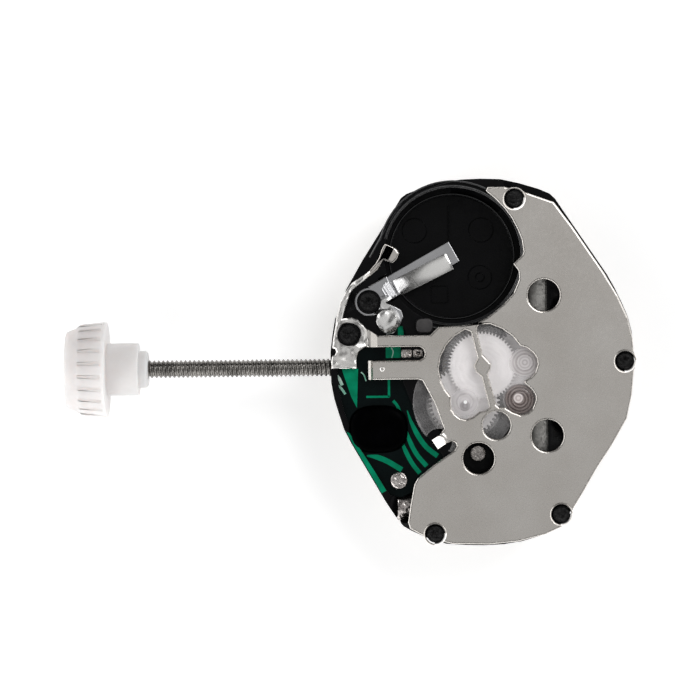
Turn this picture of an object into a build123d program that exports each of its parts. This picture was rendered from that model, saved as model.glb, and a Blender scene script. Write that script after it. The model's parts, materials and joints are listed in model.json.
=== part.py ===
from build123d import *
from math import acos, atan2, cos, degrees, radians, sin
import os

# A small quartz watch movement seen from its battery side, in millimetres.
# The origin is the hand axis at the dial seat. +Z points to the back, -X to the crown.

# Half of the width and half of the height of the body; outlines are shares of these
half_width = 7.62
half_height = 9.10

# A height above every piece, where cuts that go through end
deep = 9.0

# Gaps between pieces
running_gap = 0.025
loose_gap = 0.04
cut_overrun = 0.04

# Heights of the layers above the dial seat
dial_plate_top = 0.20
recess_top = 0.88
floor_top = 1.12
keyless_floor = 1.88
board_bottom = 2.16
board_top = 2.28
body_top = 2.44
bridge_top = 2.64
low_plate_bottom = 2.46
low_plate_top = 2.66
plate_bottom = 2.70
plate_top = 2.95
stud_top = 2.99
rim_width = 0.30

# Battery well
well_share = (-0.188, 0.612)
well_radius = 3.45
well_wall = 0.26
well_floor = 0.45
well_ledge_radius = 3.08
well_ledge_top = 0.70

# Studs, pins and holes: radii, then places as shares
stud_radius = 0.42
stud_hole_radius = 0.50
stud_shares = [(0.217, 0.918), (0.934, 0.019), (0.505, -0.819), (-0.325, -0.921)]
terminal_stud_radius = 0.52
terminal_stud_share = (-0.877, 0.181)
contact_stud_radius = 0.54
contact_stud_share = (-0.744, 0.359)
ring_width = 0.15
window_radius = 0.80
window_shares = [(0.404, 0.386), (0.420, -0.386)]
gear_window_radius = 0.70
gear_window_share = (0.085, -0.327)
pin_window_radius = 0.78
pin_window_distance = 2.896
pin_window_angle = -76.9
guide_pin_radius = 0.40
guide_pin_offset = 0.24
guide_pin_bottom = 1.40
guide_pin_top = 2.30
contact_pin_radius = 0.42
contact_pin_share = (-0.558, -0.626)
contact_pin_bottom = 1.20
contact_pin_top = 2.52
boss_radius = 0.31
boss_top = 2.66
boss_share = (-0.399, 0.236)
dial_stake_radius = 0.30
dial_stake_shares = [(-0.50, 0.84), (0.66, -0.60)]
foot_hole_radius = 0.40
foot_hole_depth = 1.00
foot_shares = [(0.78, 0.36), (-0.78, -0.36)]

# Going train: teeth, pitch radii, and the directions from one arbor to the next
seconds_teeth = 60
fifth_leaves = 15
third_teeth = 48
seconds_leaves = 8
centre_teeth = 60
third_leaves = 6
fifth_teeth = 45
rotor_leaves = 6
seconds_pitch_radius = 1.685
third_pitch_radius = 1.7314
fifth_pitch_radius = 1.645
third_angle = 243.0
fifth_angle = 4.3
rotor_angle = 261.8

# Tooth form: depth and height in modules, widths as shares of the tooth pitch
tooth_depth_share = 1.25
tooth_height_share = 1.0
tooth_root_share = 0.32
tooth_tip_share = 0.11

# Going train: heights and thicknesses
wheel_thick = 0.12
centre_bottom = 1.70
third_bottom = 1.98
seconds_bottom = 2.22
seconds_leaves_bottom = 1.92
third_leaves_bottom = 1.62
fifth_leaves_top = 2.40
rotor_leaves_bottom = 1.90
rotor_leaves_top = 2.18
arbor_radius = 0.10
arbor_top = 2.42
pivot_radius = 0.06
pivot_length = 0.14
hub_radius = 0.30
hub_proud = 0.04
bearing_post_radius = 0.20
third_post_top = 1.40
fifth_post_top = 1.53
fifth_arbor_radius = 0.08
centre_post_radius = 0.62
centre_post_top = 1.42

# Rotor, stator and coil
rotor_shaft_bottom = 1.04
rotor_pocket_radius = 0.80
rotor_pocket_floor = 1.00
magnet_radius = 0.50
magnet_bottom = 1.06
magnet_top = 1.42
stator_top = 1.32
stator_bore_radius = 0.62
stator_post_gap = 0.12
coil_x_share = 0.623
stator_end_share = 0.571
core_width = 0.62
core_top = 1.64
coil_half_length = 2.50
coil_radius = 0.78
bobbin_wall = 0.12
flange_thick = 0.20
flange_radius = 0.92
coil_room_gap = 0.10
coil_room_floor = 0.52

# Crystal can
crystal_radius = 0.70
crystal_z = 1.52
crystal_end_share = (-0.571, -0.775)
crystal_length = 5.20
crystal_collar = 0.18
crystal_collar_proud = 0.06

# Hand drive under the dial side
hour_pitch_radius = 1.60
cannon_leaves = 10
minute_teeth = 30
minute_leaves = 8
hour_teeth = 32
setting_teeth = 16
clutch_teeth = 13
setting_x = -2.20
hour_bottom = 0.28
hour_top = 0.44
hour_hub_top = 0.49
minute_bottom = 0.58
minute_top = 0.74
minute_leaves_bottom = 0.25
setting_bottom = 0.56
setting_top = 0.80
wheel_post_radius = 0.17
wheel_post_top = 0.84
recess_gap = 0.12
cannon_leaves_bottom = 0.51
cannon_journal_radius = 0.34
cannon_shoulder = 1.62
cannon_seat_radius = 0.27
cannon_top = 1.86
cannon_bore = 0.14

# Hand seats that stick out below the dial seat
seconds_tip = -1.80
minute_seat_radius = 0.35
minute_tip = -1.25
hour_seat_radius = 0.60
hour_tip = -0.75
hour_shoulder_radius = 0.80

# Stem in its pulled-out place, sizes along X
stem_z = 1.35
thread_radius = 0.45
thread_start_x = -19.60
thread_end_x = -7.30
journal_radius = 0.50
groove_radius = 0.22
groove_x = -5.875
groove_width = 0.35
square_side = 0.46
square_start_x = -5.00
square_end_x = -2.95
tip_radius = 0.20
tip_end_x = -2.70
stem_travel = 0.90

# Crown, sizes along X
crown_face_x = -20.95
crown_face_radius = 1.92
crown_knurl_x = -20.50
crown_knurl_radius = 2.09
crown_shoulder_x = -20.25
crown_shoulder_radius = 2.29
crown_flange_x = -19.10
crown_radius = 2.415
crown_root_radius = 2.26
crown_flutes = 22
flute_root_share = 0.42
flute_tip_share = 0.26
crown_hub_x = -18.90
crown_hub_radius = 1.325
crown_nose_x = -17.30
crown_nose_radius = 0.935
crown_end_x = -16.83
crown_round = 0.12

# Sliding clutch, its lever and the setting lever
clutch_radius = 0.74
clutch_ring_radius = 0.52
clutch_tip_x = -2.94
clutch_face_x = -3.14
clutch_neck_x = -3.36
clutch_collar_x = -3.58
clutch_end_x = -3.80
clutch_tooth_width = 0.12
clutch_neck_radius = 0.46
clutch_collar_radius = 0.62
clutch_bore_side = 0.50
clutch_travel = 0.25
lever_bottom = 1.90
lever_top = 2.04
finger_width = 0.15
finger_end_y = -0.30
slide_low_x = -4.55
slide_high_x = -3.05
slide_low_y = 0.82
slide_high_y = 1.60
slide_post_radius = 0.15
slide_wall = 0.09
setting_post_y = -1.536
setting_post_radius = 0.17
setting_boss_radius = 0.38
lever_eye_radius = 0.24
lever_arm_width = 0.36
lever_pin_radius = 0.13
lever_pin_bottom = 1.64

# Clearance rooms in the main plate
clutch_room_low_x = -4.35
clutch_room_high_x = -2.85
clutch_room_half_width = 0.82
clutch_room_floor = 0.50
tip_room_high_x = -1.70
tip_room_half_width = 0.42
keyless_low_x = -6.20
keyless_low_y = -2.05
keyless_high_y = 1.80
pin_slot_low_x = -6.25
pin_slot_half_width = 0.30

# Negative contact: a ring, a drop at the well wall and a leaf across the well
contact_bottom = 2.46
contact_top = 2.58
leaf_root_angle = 206.3
leaf_angle = 29.0
leaf_length = 3.65
leaf_width = 1.13
leaf_thick = 0.10
leaf_root_z = 0.74
leaf_tip_z = 0.90
leaf_arm = 1.05
leaf_notch_width = 1.35
leaf_notch_deep = 0.45

# Train bridge in clear plastic
bridge_hub_radius = 2.45
bridge_third_radius = 2.60
bridge_fifth_radius = 1.90
bridge_rotor_radius = 1.30
bearing_boss_top = 2.86
bearing_boss_radius = 0.40
bearing_collar_radius = 0.74
bearing_collar_top = 2.69
finger_room_radius = 0.66
bearing_hole_radius = 0.085
bearing_hole_depth = 0.17

# Black drop over the chip
potting_share = (-0.689, -0.343)
potting_half_width = 1.48
potting_half_height = 1.20
potting_top = 2.62
potting_slope = 0.30
potting_slope_height = 0.14

# Lip at the end of the lower arm, and the bent finger
lip_end_share = -0.752
lip_start_share = -0.722
lip_low_share = -0.070
lip_high_share = 0.035
lip_drop = 0.35
finger_root_share = (-0.269, -0.401)
finger_angle = 214.0
finger_length = 0.47
finger_width_across = 0.54
finger_drop = 0.20

body_shares = [
    (1.000, 0.011), (0.995, 0.087), (0.986, 0.176), (0.961, 0.262), (0.920, 0.343), (0.875, 0.423),
    (0.823, 0.501), (0.566, 0.821), (0.488, 0.919), (0.453, 0.947), (0.381, 0.973), (0.257, 1.005),
    (0.130, 1.029), (0.000, 1.033), (-0.130, 1.029), (-0.260, 1.016), (-0.383, 0.987),
    (-0.492, 0.952), (-0.528, 0.929), (-0.585, 0.851), (-0.783, 0.590), (-0.892, 0.431),
    (-0.932, 0.347), (-0.969, 0.264), (-0.987, 0.176), (-1.000, 0.088), (-1.000, 0.000),
    (-0.997, -0.088), (-0.978, -0.174), (-0.948, -0.258), (-0.916, -0.342), (-0.869, -0.420),
    (-0.646, -0.744), (-0.575, -0.835), (-0.531, -0.879), (-0.482, -0.903), (-0.370, -0.947),
    (-0.252, -0.978), (-0.125, -0.986), (0.000, -0.989), (0.125, -0.984), (0.247, -0.969),
    (0.365, -0.941), (0.474, -0.901), (0.518, -0.874), (0.562, -0.813), (0.621, -0.715),
    (0.856, -0.413), (0.902, -0.336), (0.933, -0.254), (0.966, -0.171), (0.984, -0.086),
]
back_shares = [
    (0.030, 0.962), (0.043, 0.984), (0.151, 0.984), (0.308, 0.948), (0.476, 0.898), (0.597, 0.761),
    (0.715, 0.615), (0.801, 0.507), (0.889, 0.381), (0.953, 0.262), (0.986, 0.143), (0.995, 0.011),
    (0.978, -0.159), (0.942, -0.297), (0.840, -0.445), (0.741, -0.569), (0.656, -0.692),
    (0.564, -0.816), (0.505, -0.890), (0.400, -0.929), (0.217, -0.967), (0.026, -0.981),
    (-0.210, -0.976), (-0.381, -0.941), (-0.489, -0.890), (-0.502, -0.857), (-0.486, -0.764),
    (-0.467, -0.681), (-0.459, -0.648), (-0.436, -0.613), (-0.322, -0.536), (-0.194, -0.462),
    (-0.177, -0.440), (-0.187, -0.420), (-0.210, -0.412), (-0.249, -0.426), (-0.289, -0.376),
    (-0.260, -0.343), (-0.289, -0.275), (-0.316, -0.209), (-0.361, -0.137), (-0.398, -0.077),
    (-0.423, -0.070), (lip_start_share, lip_low_share), (lip_start_share, lip_high_share),
    (-0.413, 0.036), (-0.387, 0.052),
    (-0.381, 0.074), (-0.390, 0.095), (-0.413, 0.109), (-0.692, 0.109), (-0.692, 0.173),
    (-0.344, 0.174), (-0.290, 0.218), (-0.151, 0.223), (-0.039, 0.236), (0.026, 0.265),
    (0.079, 0.298), (0.144, 0.343), (0.206, 0.400), (0.244, 0.476), (0.240, 0.520), (0.206, 0.560),
    (0.266, 0.608), (0.274, 0.627), (0.262, 0.692), (0.236, 0.750), (0.197, 0.813), (0.151, 0.866),
    (0.092, 0.918),
]
left_opening_shares = [
    (-0.092, 0.195), (-0.114, 0.202), (-0.184, 0.166), (-0.239, 0.116), (-0.277, 0.053),
    (-0.291, -0.015), (-0.277, -0.075), (-0.250, -0.125), (-0.212, -0.165), (-0.215, -0.203),
    (-0.207, -0.236), (-0.187, -0.262), (-0.152, -0.285), (-0.114, -0.292), (-0.070, -0.280),
    (-0.027, -0.251), (0.011, -0.248), (0.039, -0.227), (-0.008, -0.061), (-0.043, -0.038),
    (-0.060, 0.001), (-0.035, 0.044), (-0.076, 0.187),
]
right_opening_shares = [
    (-0.035, 0.212), (-0.021, 0.229), (0.049, 0.230), (0.125, 0.205), (0.196, 0.162),
    (0.245, 0.110), (0.289, 0.098), (0.332, 0.069), (0.354, 0.041), (0.360, 0.007),
    (0.343, -0.038), (0.312, -0.066), (0.272, -0.082), (0.272, -0.096), (0.322, -0.134),
    (0.341, -0.159), (0.346, -0.187), (0.322, -0.239), (0.289, -0.263), (0.245, -0.271),
    (0.186, -0.252), (0.142, -0.227), (0.104, -0.227), (0.085, -0.212), (0.033, -0.043),
    (0.052, -0.015), (0.055, 0.012), (0.001, 0.062), (-0.035, 0.190),
]
terminal_shares = [
    (-0.759, 0.110), (-0.774, 0.109), (-0.801, 0.096), (-0.822, 0.074), (-0.830, 0.049),
    (-0.828, -0.008), (-0.997, -0.007), (-0.995, 0.036), (-0.989, 0.062), (-0.972, 0.068),
    (-0.965, 0.084), (-0.972, 0.100), (-0.990, 0.107), (-0.984, 0.143), (-0.970, 0.210),
    (-0.958, 0.288), (-0.935, 0.357), (-0.899, 0.413), (-0.853, 0.465), (-0.785, 0.504),
    (-0.736, 0.535), (-0.696, 0.574), (-0.675, 0.603), (-0.656, 0.651), (-0.635, 0.681),
    (-0.585, 0.664), (-0.560, 0.651), (-0.541, 0.626), (-0.554, 0.597), (-0.585, 0.571),
    (-0.650, 0.590), (-0.663, 0.567), (-0.685, 0.536), (-0.736, 0.500), (-0.796, 0.460),
    (-0.858, 0.418), (-0.884, 0.363), (-0.909, 0.294), (-0.915, 0.271), (-0.862, 0.275),
    (-0.818, 0.263), (-0.768, 0.220), (-0.759, 0.211),
]
tab_slot_shares = [
    (-0.619, 0.657), (-0.591, 0.647), (-0.620, 0.600), (-0.644, 0.607),
]
joggle_shares = [
    (-0.759, 0.211), (-0.692, 0.173), (-0.692, 0.109), (-0.759, 0.110),
]
board_shares = [
    (-0.958, 0.000), (-0.945, -0.132), (-0.912, -0.247), (-0.860, -0.368), (-0.774, -0.500),
    (-0.676, -0.632), (-0.617, -0.709), (-0.545, -0.720), (-0.466, -0.692), (-0.348, -0.615),
    (-0.243, -0.527), (-0.282, -0.473), (-0.361, -0.390), (-0.427, -0.297), (-0.472, -0.198),
    (-0.525, -0.082), (-0.512, 0.044), (-0.505, 0.198), (-0.545, 0.253), (-0.597, 0.242),
    (-0.650, 0.165), (-0.728, 0.137), (-0.860, 0.069), (-0.945, 0.049),
]
contact_tail_shares = [
    (-0.730, 0.308), (-0.693, 0.284), (-0.699, 0.242), (-0.677, 0.204), (-0.626, 0.176),
    (-0.581, 0.185), (-0.547, 0.221), (-0.517, 0.274), (-0.531, 0.312), (-0.568, 0.330),
    (-0.614, 0.347), (-0.676, 0.363),
]
stator_shares = [
    (0.121, -0.286), (0.282, -0.478), (0.341, -stator_end_share), (0.696, -stator_end_share),
    (0.696, -0.478), (0.427, -0.478), (0.427, 0.478), (0.696, 0.478), (0.696, stator_end_share),
    (0.354, stator_end_share), (0.302, 0.473), (0.164, 0.176), (0.121, 0.033),
]


def place(share):
    """A place on the plate from shares of its half width and half height."""
    return share[0] * half_width, share[1] * half_height


def step_from(start, distance, direction):
    """The place at a distance from start, in a direction given in degrees."""
    turn = radians(direction)
    return start[0] + distance * cos(turn), start[1] + distance * sin(turn)


def direction_to(start, end):
    """The direction in degrees from one place to another."""
    return degrees(atan2(end[1] - start[1], end[0] - start[0]))


def disc(radius, bottom, top, at=(0, 0)):
    """An upright round piece between two heights."""
    piece = Cylinder(radius, top - bottom, align=(Align.CENTER, Align.CENTER, Align.MIN))
    return Pos(at[0], at[1], bottom) * piece


def rod(radius, low_x, high_x):
    """A round piece along the stem axis."""
    piece = Cylinder(radius, high_x - low_x, align=(Align.CENTER, Align.CENTER, Align.MIN))
    return Pos(low_x, 0, stem_z) * Rot(0, 90, 0) * piece


def block(low_x, high_x, low_y, high_y, bottom, top):
    """A box between two corners."""
    corner = (Align.MIN, Align.MIN, Align.MIN)
    return Pos(low_x, low_y, bottom) * Box(high_x - low_x, high_y - low_y, top - bottom, align=corner)


def slab(points, bottom, top):
    """A flat piece with the outline given, between two heights."""
    face = make_face(Polyline(*points, close=True))
    return Pos(0, 0, bottom) * extrude(face, top - bottom)


def share_slab(shares, bottom, top):
    """A flat piece whose outline is given in shares."""
    return slab([place(share) for share in shares], bottom, top)


def side_slab(points, low_y, high_y):
    """A piece drawn from the side, as x and z points, between two places along Y."""
    face = make_face(Polyline(*[(x, 0, z) for x, z in points], close=True))
    return Pos(0, high_y, 0) * extrude(face, high_y - low_y, dir=(0, -1, 0))


def over_teeth(teeth, module):
    """The radius over the teeth of a wheel."""
    return module * (teeth / 2 + tooth_height_share)


def gear(teeth, module, bottom, top, at, phase):
    """A toothed wheel with one tooth centred on the phase direction, in degrees."""
    root = module * (teeth / 2 - tooth_depth_share)
    tip = over_teeth(teeth, module)
    pitch = 360 / teeth
    points = []
    for tooth in range(teeth):
        middle = phase + tooth * pitch
        points.append(step_from(at, root, middle - tooth_root_share * pitch))
        points.append(step_from(at, tip, middle - tooth_tip_share * pitch))
        points.append(step_from(at, tip, middle + tooth_tip_share * pitch))
        points.append(step_from(at, root, middle + tooth_root_share * pitch))
    return slab(points, bottom, top)


def mesh_phase(phase, teeth, mate_teeth, direction):
    """The phase that puts the mate's tooth into a gap of the first wheel."""
    part_tooth = (direction - phase) * teeth / 360
    return direction + 180 - (0.5 - part_tooth) * 360 / mate_teeth


# Places and phases that follow from the sizes above
well_place = place(well_share)
seconds_module = 2 * seconds_pitch_radius / seconds_teeth
third_module = 2 * third_pitch_radius / third_teeth
rotor_module = 2 * fifth_pitch_radius / fifth_teeth
motion_module = 2 * hour_pitch_radius / hour_teeth
third_distance = third_module * (third_teeth + seconds_leaves) / 2
centre_module = 2 * third_distance / (centre_teeth + third_leaves)
fifth_distance = seconds_module * (seconds_teeth + fifth_leaves) / 2
rotor_distance = rotor_module * (fifth_teeth + rotor_leaves) / 2
motion_distance = motion_module * (cannon_leaves + minute_teeth) / 2
setting_distance = motion_module * (setting_teeth + minute_teeth) / 2
axis = (0, 0)
third_place = step_from(axis, third_distance, third_angle)
fifth_place = step_from(axis, fifth_distance, fifth_angle)
rotor_place = step_from(fifth_place, rotor_distance, rotor_angle)
pin_window_place = step_from(third_place, pin_window_distance, pin_window_angle)
guide_pin_place = (pin_window_place[0], pin_window_place[1] + guide_pin_offset)
setting_place = (setting_x, 0)
minute_angle = degrees(
    acos((setting_x**2 + motion_distance**2 - setting_distance**2) / (2 * setting_x * motion_distance))
)
minute_place = step_from(axis, motion_distance, -minute_angle)
coil_x = coil_x_share * half_width
coil_z = (stator_top + core_top) / 2
core_half_length = stator_end_share * half_height
crystal_end_x, crystal_y = place(crystal_end_share)
fifth_phase = mesh_phase(0, seconds_teeth, fifth_leaves, fifth_angle)
fifth_wheel_phase = 0
rotor_phase = mesh_phase(fifth_wheel_phase, fifth_teeth, rotor_leaves, rotor_angle)
third_wheel_phase = mesh_phase(0, seconds_leaves, third_teeth, third_angle)
third_pinion_phase = mesh_phase(0, centre_teeth, third_leaves, third_angle)
minute_phase = mesh_phase(0, cannon_leaves, minute_teeth, -minute_angle)
hour_phase = mesh_phase(0, minute_leaves, hour_teeth, 180 - minute_angle)
setting_bearing = direction_to(minute_place, setting_place)
setting_phase = mesh_phase(minute_phase, minute_teeth, setting_teeth, setting_bearing)
setting_offset = ((180 - setting_phase) * setting_teeth / 360) % 1
slide_slot_half = slide_post_radius + running_gap
slide_post_y = (slide_low_y + slide_high_y) / 2
slide_post_places = [
    (slide_low_x + slide_wall + slide_slot_half, slide_post_y),
    (slide_high_x - slide_wall - slide_slot_half - clutch_travel, slide_post_y),
]
setting_post_place = (groove_x + stem_travel / 2, setting_post_y)
leaf_root = step_from(well_place, well_radius - running_gap, leaf_root_angle)
finger_place = place(finger_root_share)


def leaf_frame(piece):
    """Move a piece drawn along +X from the origin to the leaf's root and direction."""
    return Pos(leaf_root[0], leaf_root[1], 0) * Rot(0, 0, leaf_angle) * piece


def main_plate():
    """The black plastic plate that everything is built on."""
    plate = share_slab(body_shares, dial_plate_top, body_top)
    rim = share_slab(back_shares, body_top, plate_bottom) & share_slab(body_shares, body_top, plate_bottom)
    inner = [(x * (1 - rim_width / half_width), y * (1 - rim_width / half_height)) for x, y in body_shares]
    plate += rim - share_slab(inner, body_top, plate_bottom)
    for share in stud_shares:
        plate += disc(stud_radius, body_top, stud_top, place(share))
    plate -= disc(well_radius, well_ledge_top, deep, well_place)
    plate -= disc(well_ledge_radius, well_floor, deep, well_place)
    plate += disc(boss_radius, body_top, boss_top, place(boss_share))
    plate -= rooms()
    low_stud_top = stud_top - plate_bottom + low_plate_top
    plate += disc(terminal_stud_radius, board_bottom, low_stud_top, place(terminal_stud_share))
    plate += disc(contact_stud_radius, board_bottom, low_stud_top, place(contact_stud_share))
    plate += disc(centre_post_radius, floor_top, centre_post_top)
    plate += disc(bearing_post_radius, floor_top, third_post_top, third_place)
    plate += disc(bearing_post_radius, floor_top, fifth_post_top, fifth_place)
    plate -= disc(cannon_journal_radius + running_gap, dial_plate_top, deep)
    for at, top in ((third_place, third_post_top), (fifth_place, fifth_post_top)):
        plate -= disc(pivot_radius + running_gap, top - pivot_length - loose_gap, top, at)
    rotor_pivot_floor = rotor_shaft_bottom - pivot_length - loose_gap
    plate -= disc(pivot_radius + running_gap, rotor_pivot_floor, deep, rotor_place)
    plate += disc(setting_post_radius, keyless_floor, lever_top, setting_post_place)
    for at in slide_post_places:
        plate += disc(slide_post_radius, keyless_floor, lever_top, at)
    for share in dial_stake_shares:
        plate += disc(dial_stake_radius, 0, dial_plate_top, place(share))
    return plate


def rooms():
    """Everything cut out of the main plate for the other pieces."""
    hour_room_radius = over_teeth(hour_teeth, motion_module) + recess_gap
    minute_room_radius = over_teeth(minute_teeth, motion_module) + recess_gap
    setting_room_radius = over_teeth(setting_teeth, motion_module) + recess_gap
    room = disc(hour_room_radius, dial_plate_top, recess_top)
    room += disc(minute_room_radius, dial_plate_top, recess_top, minute_place)
    room += disc(setting_room_radius, dial_plate_top, recess_top, setting_place)
    room += disc(over_teeth(centre_teeth, centre_module) + recess_gap, floor_top, deep)
    room += disc(over_teeth(third_teeth, third_module) + recess_gap, floor_top, deep, third_place)
    room += disc(over_teeth(fifth_teeth, rotor_module) + recess_gap, floor_top, deep, fifth_place)
    room += disc(rotor_pocket_radius, rotor_pocket_floor, deep, rotor_place)
    room += share_slab(stator_shares, floor_top, deep)
    coil_side = flange_radius + coil_room_gap
    coil_end = coil_half_length + flange_thick + coil_room_gap
    room += block(coil_x - coil_side, coil_x + coil_side, -coil_end, coil_end, coil_room_floor, deep)
    core_side = core_width / 2 + loose_gap
    core_end = core_half_length + loose_gap
    room += block(coil_x - core_side, coil_x + core_side, -core_end, core_end, floor_top, deep)
    crystal_room = crystal_radius + crystal_collar_proud + running_gap
    room += block(
        crystal_end_x - loose_gap,
        crystal_end_x + crystal_length + crystal_collar + loose_gap,
        crystal_y - crystal_room,
        crystal_y + crystal_room,
        crystal_z - crystal_room,
        deep,
    )
    room += share_slab(board_shares, board_bottom, deep)
    room += potting_outline(board_top, deep)
    room += block(
        keyless_low_x,
        clutch_room_high_x,
        keyless_low_y,
        keyless_high_y,
        keyless_floor,
        board_top,
    )
    room += block(
        clutch_room_low_x,
        clutch_room_high_x,
        -clutch_room_half_width,
        clutch_room_half_width,
        clutch_room_floor,
        board_top,
    )
    room += block(
        clutch_room_high_x - cut_overrun,
        tip_room_high_x,
        -tip_room_half_width,
        tip_room_half_width,
        recess_top - cut_overrun,
        keyless_floor,
    )
    room += rod(journal_radius + running_gap, -deep, clutch_room_low_x)
    room += block(
        pin_slot_low_x,
        clutch_room_low_x,
        -pin_slot_half_width,
        pin_slot_half_width,
        stem_z,
        keyless_floor,
    )
    room += disc(pin_window_radius, guide_pin_bottom, deep, pin_window_place)
    room += disc(contact_pin_radius, contact_pin_bottom, deep, place(contact_pin_share))
    for share in foot_shares:
        room += disc(foot_hole_radius, dial_plate_top, dial_plate_top + foot_hole_depth, place(share))
    half = leaf_notch_width / 2
    room += leaf_frame(block(-leaf_notch_deep, leaf_thick, -half, half, well_ledge_top, deep))
    room += contact_outline(body_top, deep)
    return room


def dial_side_plate():
    """The thin nickel plate under the dial, with the posts of the two idle wheels."""
    plate = share_slab(body_shares, 0, dial_plate_top)
    plate -= disc(hour_shoulder_radius + loose_gap, 0, dial_plate_top)
    for share in foot_shares:
        plate -= disc(foot_hole_radius, 0, dial_plate_top, place(share))
    for share in dial_stake_shares:
        plate -= disc(dial_stake_radius, 0, dial_plate_top, place(share))
    for at in (minute_place, setting_place):
        plate += disc(wheel_post_radius, 0, wheel_post_top, at)
    return plate


def back_plate():
    """The nickel back plate with its arms, openings, joggled terminal and battery strip."""
    plate = share_slab(back_shares, plate_bottom, plate_top)
    plate -= share_slab(left_opening_shares, plate_bottom, plate_top)
    plate -= share_slab(right_opening_shares, plate_bottom, plate_top)
    for share in stud_shares:
        plate -= disc(stud_hole_radius, plate_bottom, plate_top, place(share))
    for share in window_shares:
        plate -= disc(window_radius, plate_bottom, plate_top, place(share))
    plate -= disc(gear_window_radius, plate_bottom, plate_top, place(gear_window_share))
    plate -= disc(pin_window_radius, plate_bottom, plate_top, pin_window_place)
    low_x = joggle_shares[0][0] * half_width
    high_x = joggle_shares[1][0] * half_width
    slope = [(low_x, low_plate_bottom), (high_x, plate_bottom), (high_x, plate_top), (low_x, low_plate_top)]
    plate += share_slab(joggle_shares, 0, deep) & side_slab(slope, 0, half_height)
    terminal = share_slab(terminal_shares, low_plate_bottom, low_plate_top)
    stud_hole = terminal_stud_radius + running_gap
    terminal -= disc(stud_hole, low_plate_bottom, low_plate_top, place(terminal_stud_share))
    terminal -= share_slab(tab_slot_shares, low_plate_bottom, low_plate_top)
    plate += terminal
    lip_x = lip_start_share * half_width
    end_x = lip_end_share * half_width
    lip = [
        (lip_x, plate_bottom),
        (lip_x, plate_top),
        (end_x, plate_top - lip_drop),
        (end_x, plate_bottom - lip_drop),
    ]
    plate += side_slab(lip, lip_low_share * half_height, lip_high_share * half_height)
    plate += bent_finger()
    return plate


def bent_finger():
    """The short finger beside the long slot, bent down from the plate."""
    slope = [
        (-finger_length, plate_bottom),
        (-finger_length, plate_top),
        (0, plate_top),
        (finger_length, plate_top - finger_drop),
        (finger_length, plate_bottom - finger_drop),
        (0, plate_bottom),
    ]
    finger = side_slab(slope, -finger_width_across / 2, finger_width_across / 2)
    return Pos(finger_place[0], finger_place[1], 0) * Rot(0, 0, finger_angle) * finger


def train_bridge():
    """The clear plastic bridge over the going train, with a raised boss for each pivot."""
    bridge = disc(bridge_hub_radius, body_top, bridge_top)
    bridge += disc(bridge_third_radius, body_top, bridge_top, third_place)
    bridge += disc(bridge_fifth_radius, body_top, bridge_top, fifth_place)
    bridge += disc(bridge_rotor_radius, body_top, bridge_top, rotor_place)
    bridge -= disc(well_radius + well_wall + loose_gap, body_top, bridge_top, well_place)
    bridge -= disc(boss_radius + loose_gap, body_top, bridge_top, place(boss_share))
    bridge -= disc(pin_window_radius, body_top, bridge_top, pin_window_place)
    finger_middle = step_from(finger_place, finger_length / 2, finger_angle)
    bridge -= disc(finger_room_radius, body_top, bridge_top, finger_middle)
    bridge -= potting_outline(body_top, bridge_top)
    for at in (third_place, fifth_place, rotor_place):
        bridge += disc(bearing_collar_radius, bridge_top, bearing_collar_top, at)
        bridge += disc(bearing_boss_radius, bridge_top, bearing_boss_top, at)
    for at in (axis, third_place, fifth_place, rotor_place):
        bridge -= disc(bearing_hole_radius, body_top, body_top + bearing_hole_depth, at)
    return bridge


def contact_outline(bottom, top):
    """The flat outline of the negative contact between two heights."""
    outline = disc(contact_stud_radius + running_gap + ring_width, bottom, top, place(contact_stud_share))
    outline += leaf_frame(block(-leaf_arm, 0, -leaf_width / 2, leaf_width / 2, bottom, top))
    return outline + share_slab(contact_tail_shares, bottom, top)


def negative_contact():
    """The grey spring contact: ring, tail, drop at the wall and leaf across the well."""
    ring = contact_outline(contact_bottom, contact_top)
    ring -= disc(contact_stud_radius + running_gap, contact_bottom, contact_top, place(contact_stud_share))
    drop = [
        (-leaf_thick, leaf_root_z),
        (0, leaf_root_z),
        (leaf_length, leaf_tip_z),
        (leaf_length, leaf_tip_z + leaf_thick),
        (0, leaf_root_z + leaf_thick),
        (0, contact_top),
        (-leaf_thick, contact_top),
    ]
    return ring + leaf_frame(side_slab(drop, -leaf_width / 2, leaf_width / 2))


def circuit_board():
    """The green circuit board beside the stem."""
    board = share_slab(board_shares, board_bottom, board_top)
    board -= disc(contact_pin_radius, board_bottom, board_top, place(contact_pin_share))
    board -= disc(terminal_stud_radius, board_bottom, board_top, place(terminal_stud_share))
    return board


def potting_outline(bottom, top):
    """The oval outline of the black drop between two heights."""
    at = place(potting_share)
    oval = Ellipse(potting_half_width, potting_half_height)
    return Pos(at[0], at[1], bottom) * extrude(oval, top - bottom)


def ic_potting():
    """The black drop that covers the chip."""
    oval = potting_outline(board_top, potting_top)
    return chamfer(oval.edges().group_by(Axis.Z)[-1], potting_slope_height, potting_slope)


def quartz_crystal():
    """The small metal can of the crystal with its end collar."""
    can = Cylinder(crystal_radius, crystal_length, align=(Align.CENTER, Align.CENTER, Align.MIN))
    collar = Cylinder(
        crystal_radius + crystal_collar_proud, crystal_collar, align=(Align.CENTER, Align.CENTER, Align.MIN)
    )
    can += Pos(0, 0, crystal_length) * collar
    return Pos(crystal_end_x, crystal_y, crystal_z) * Rot(0, 90, 0) * can


def stator():
    """The stator plate with its rotor hole and two ends for the coil core."""
    plate = share_slab(stator_shares, floor_top, stator_top)
    plate -= disc(stator_bore_radius, floor_top, stator_top, rotor_place)
    plate -= disc(bearing_post_radius + stator_post_gap, floor_top, stator_top, fifth_place)
    return plate


def coil_core():
    """The flat iron core of the coil."""
    half = core_width / 2
    return block(coil_x - half, coil_x + half, -core_half_length, core_half_length, stator_top, core_top)


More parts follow.
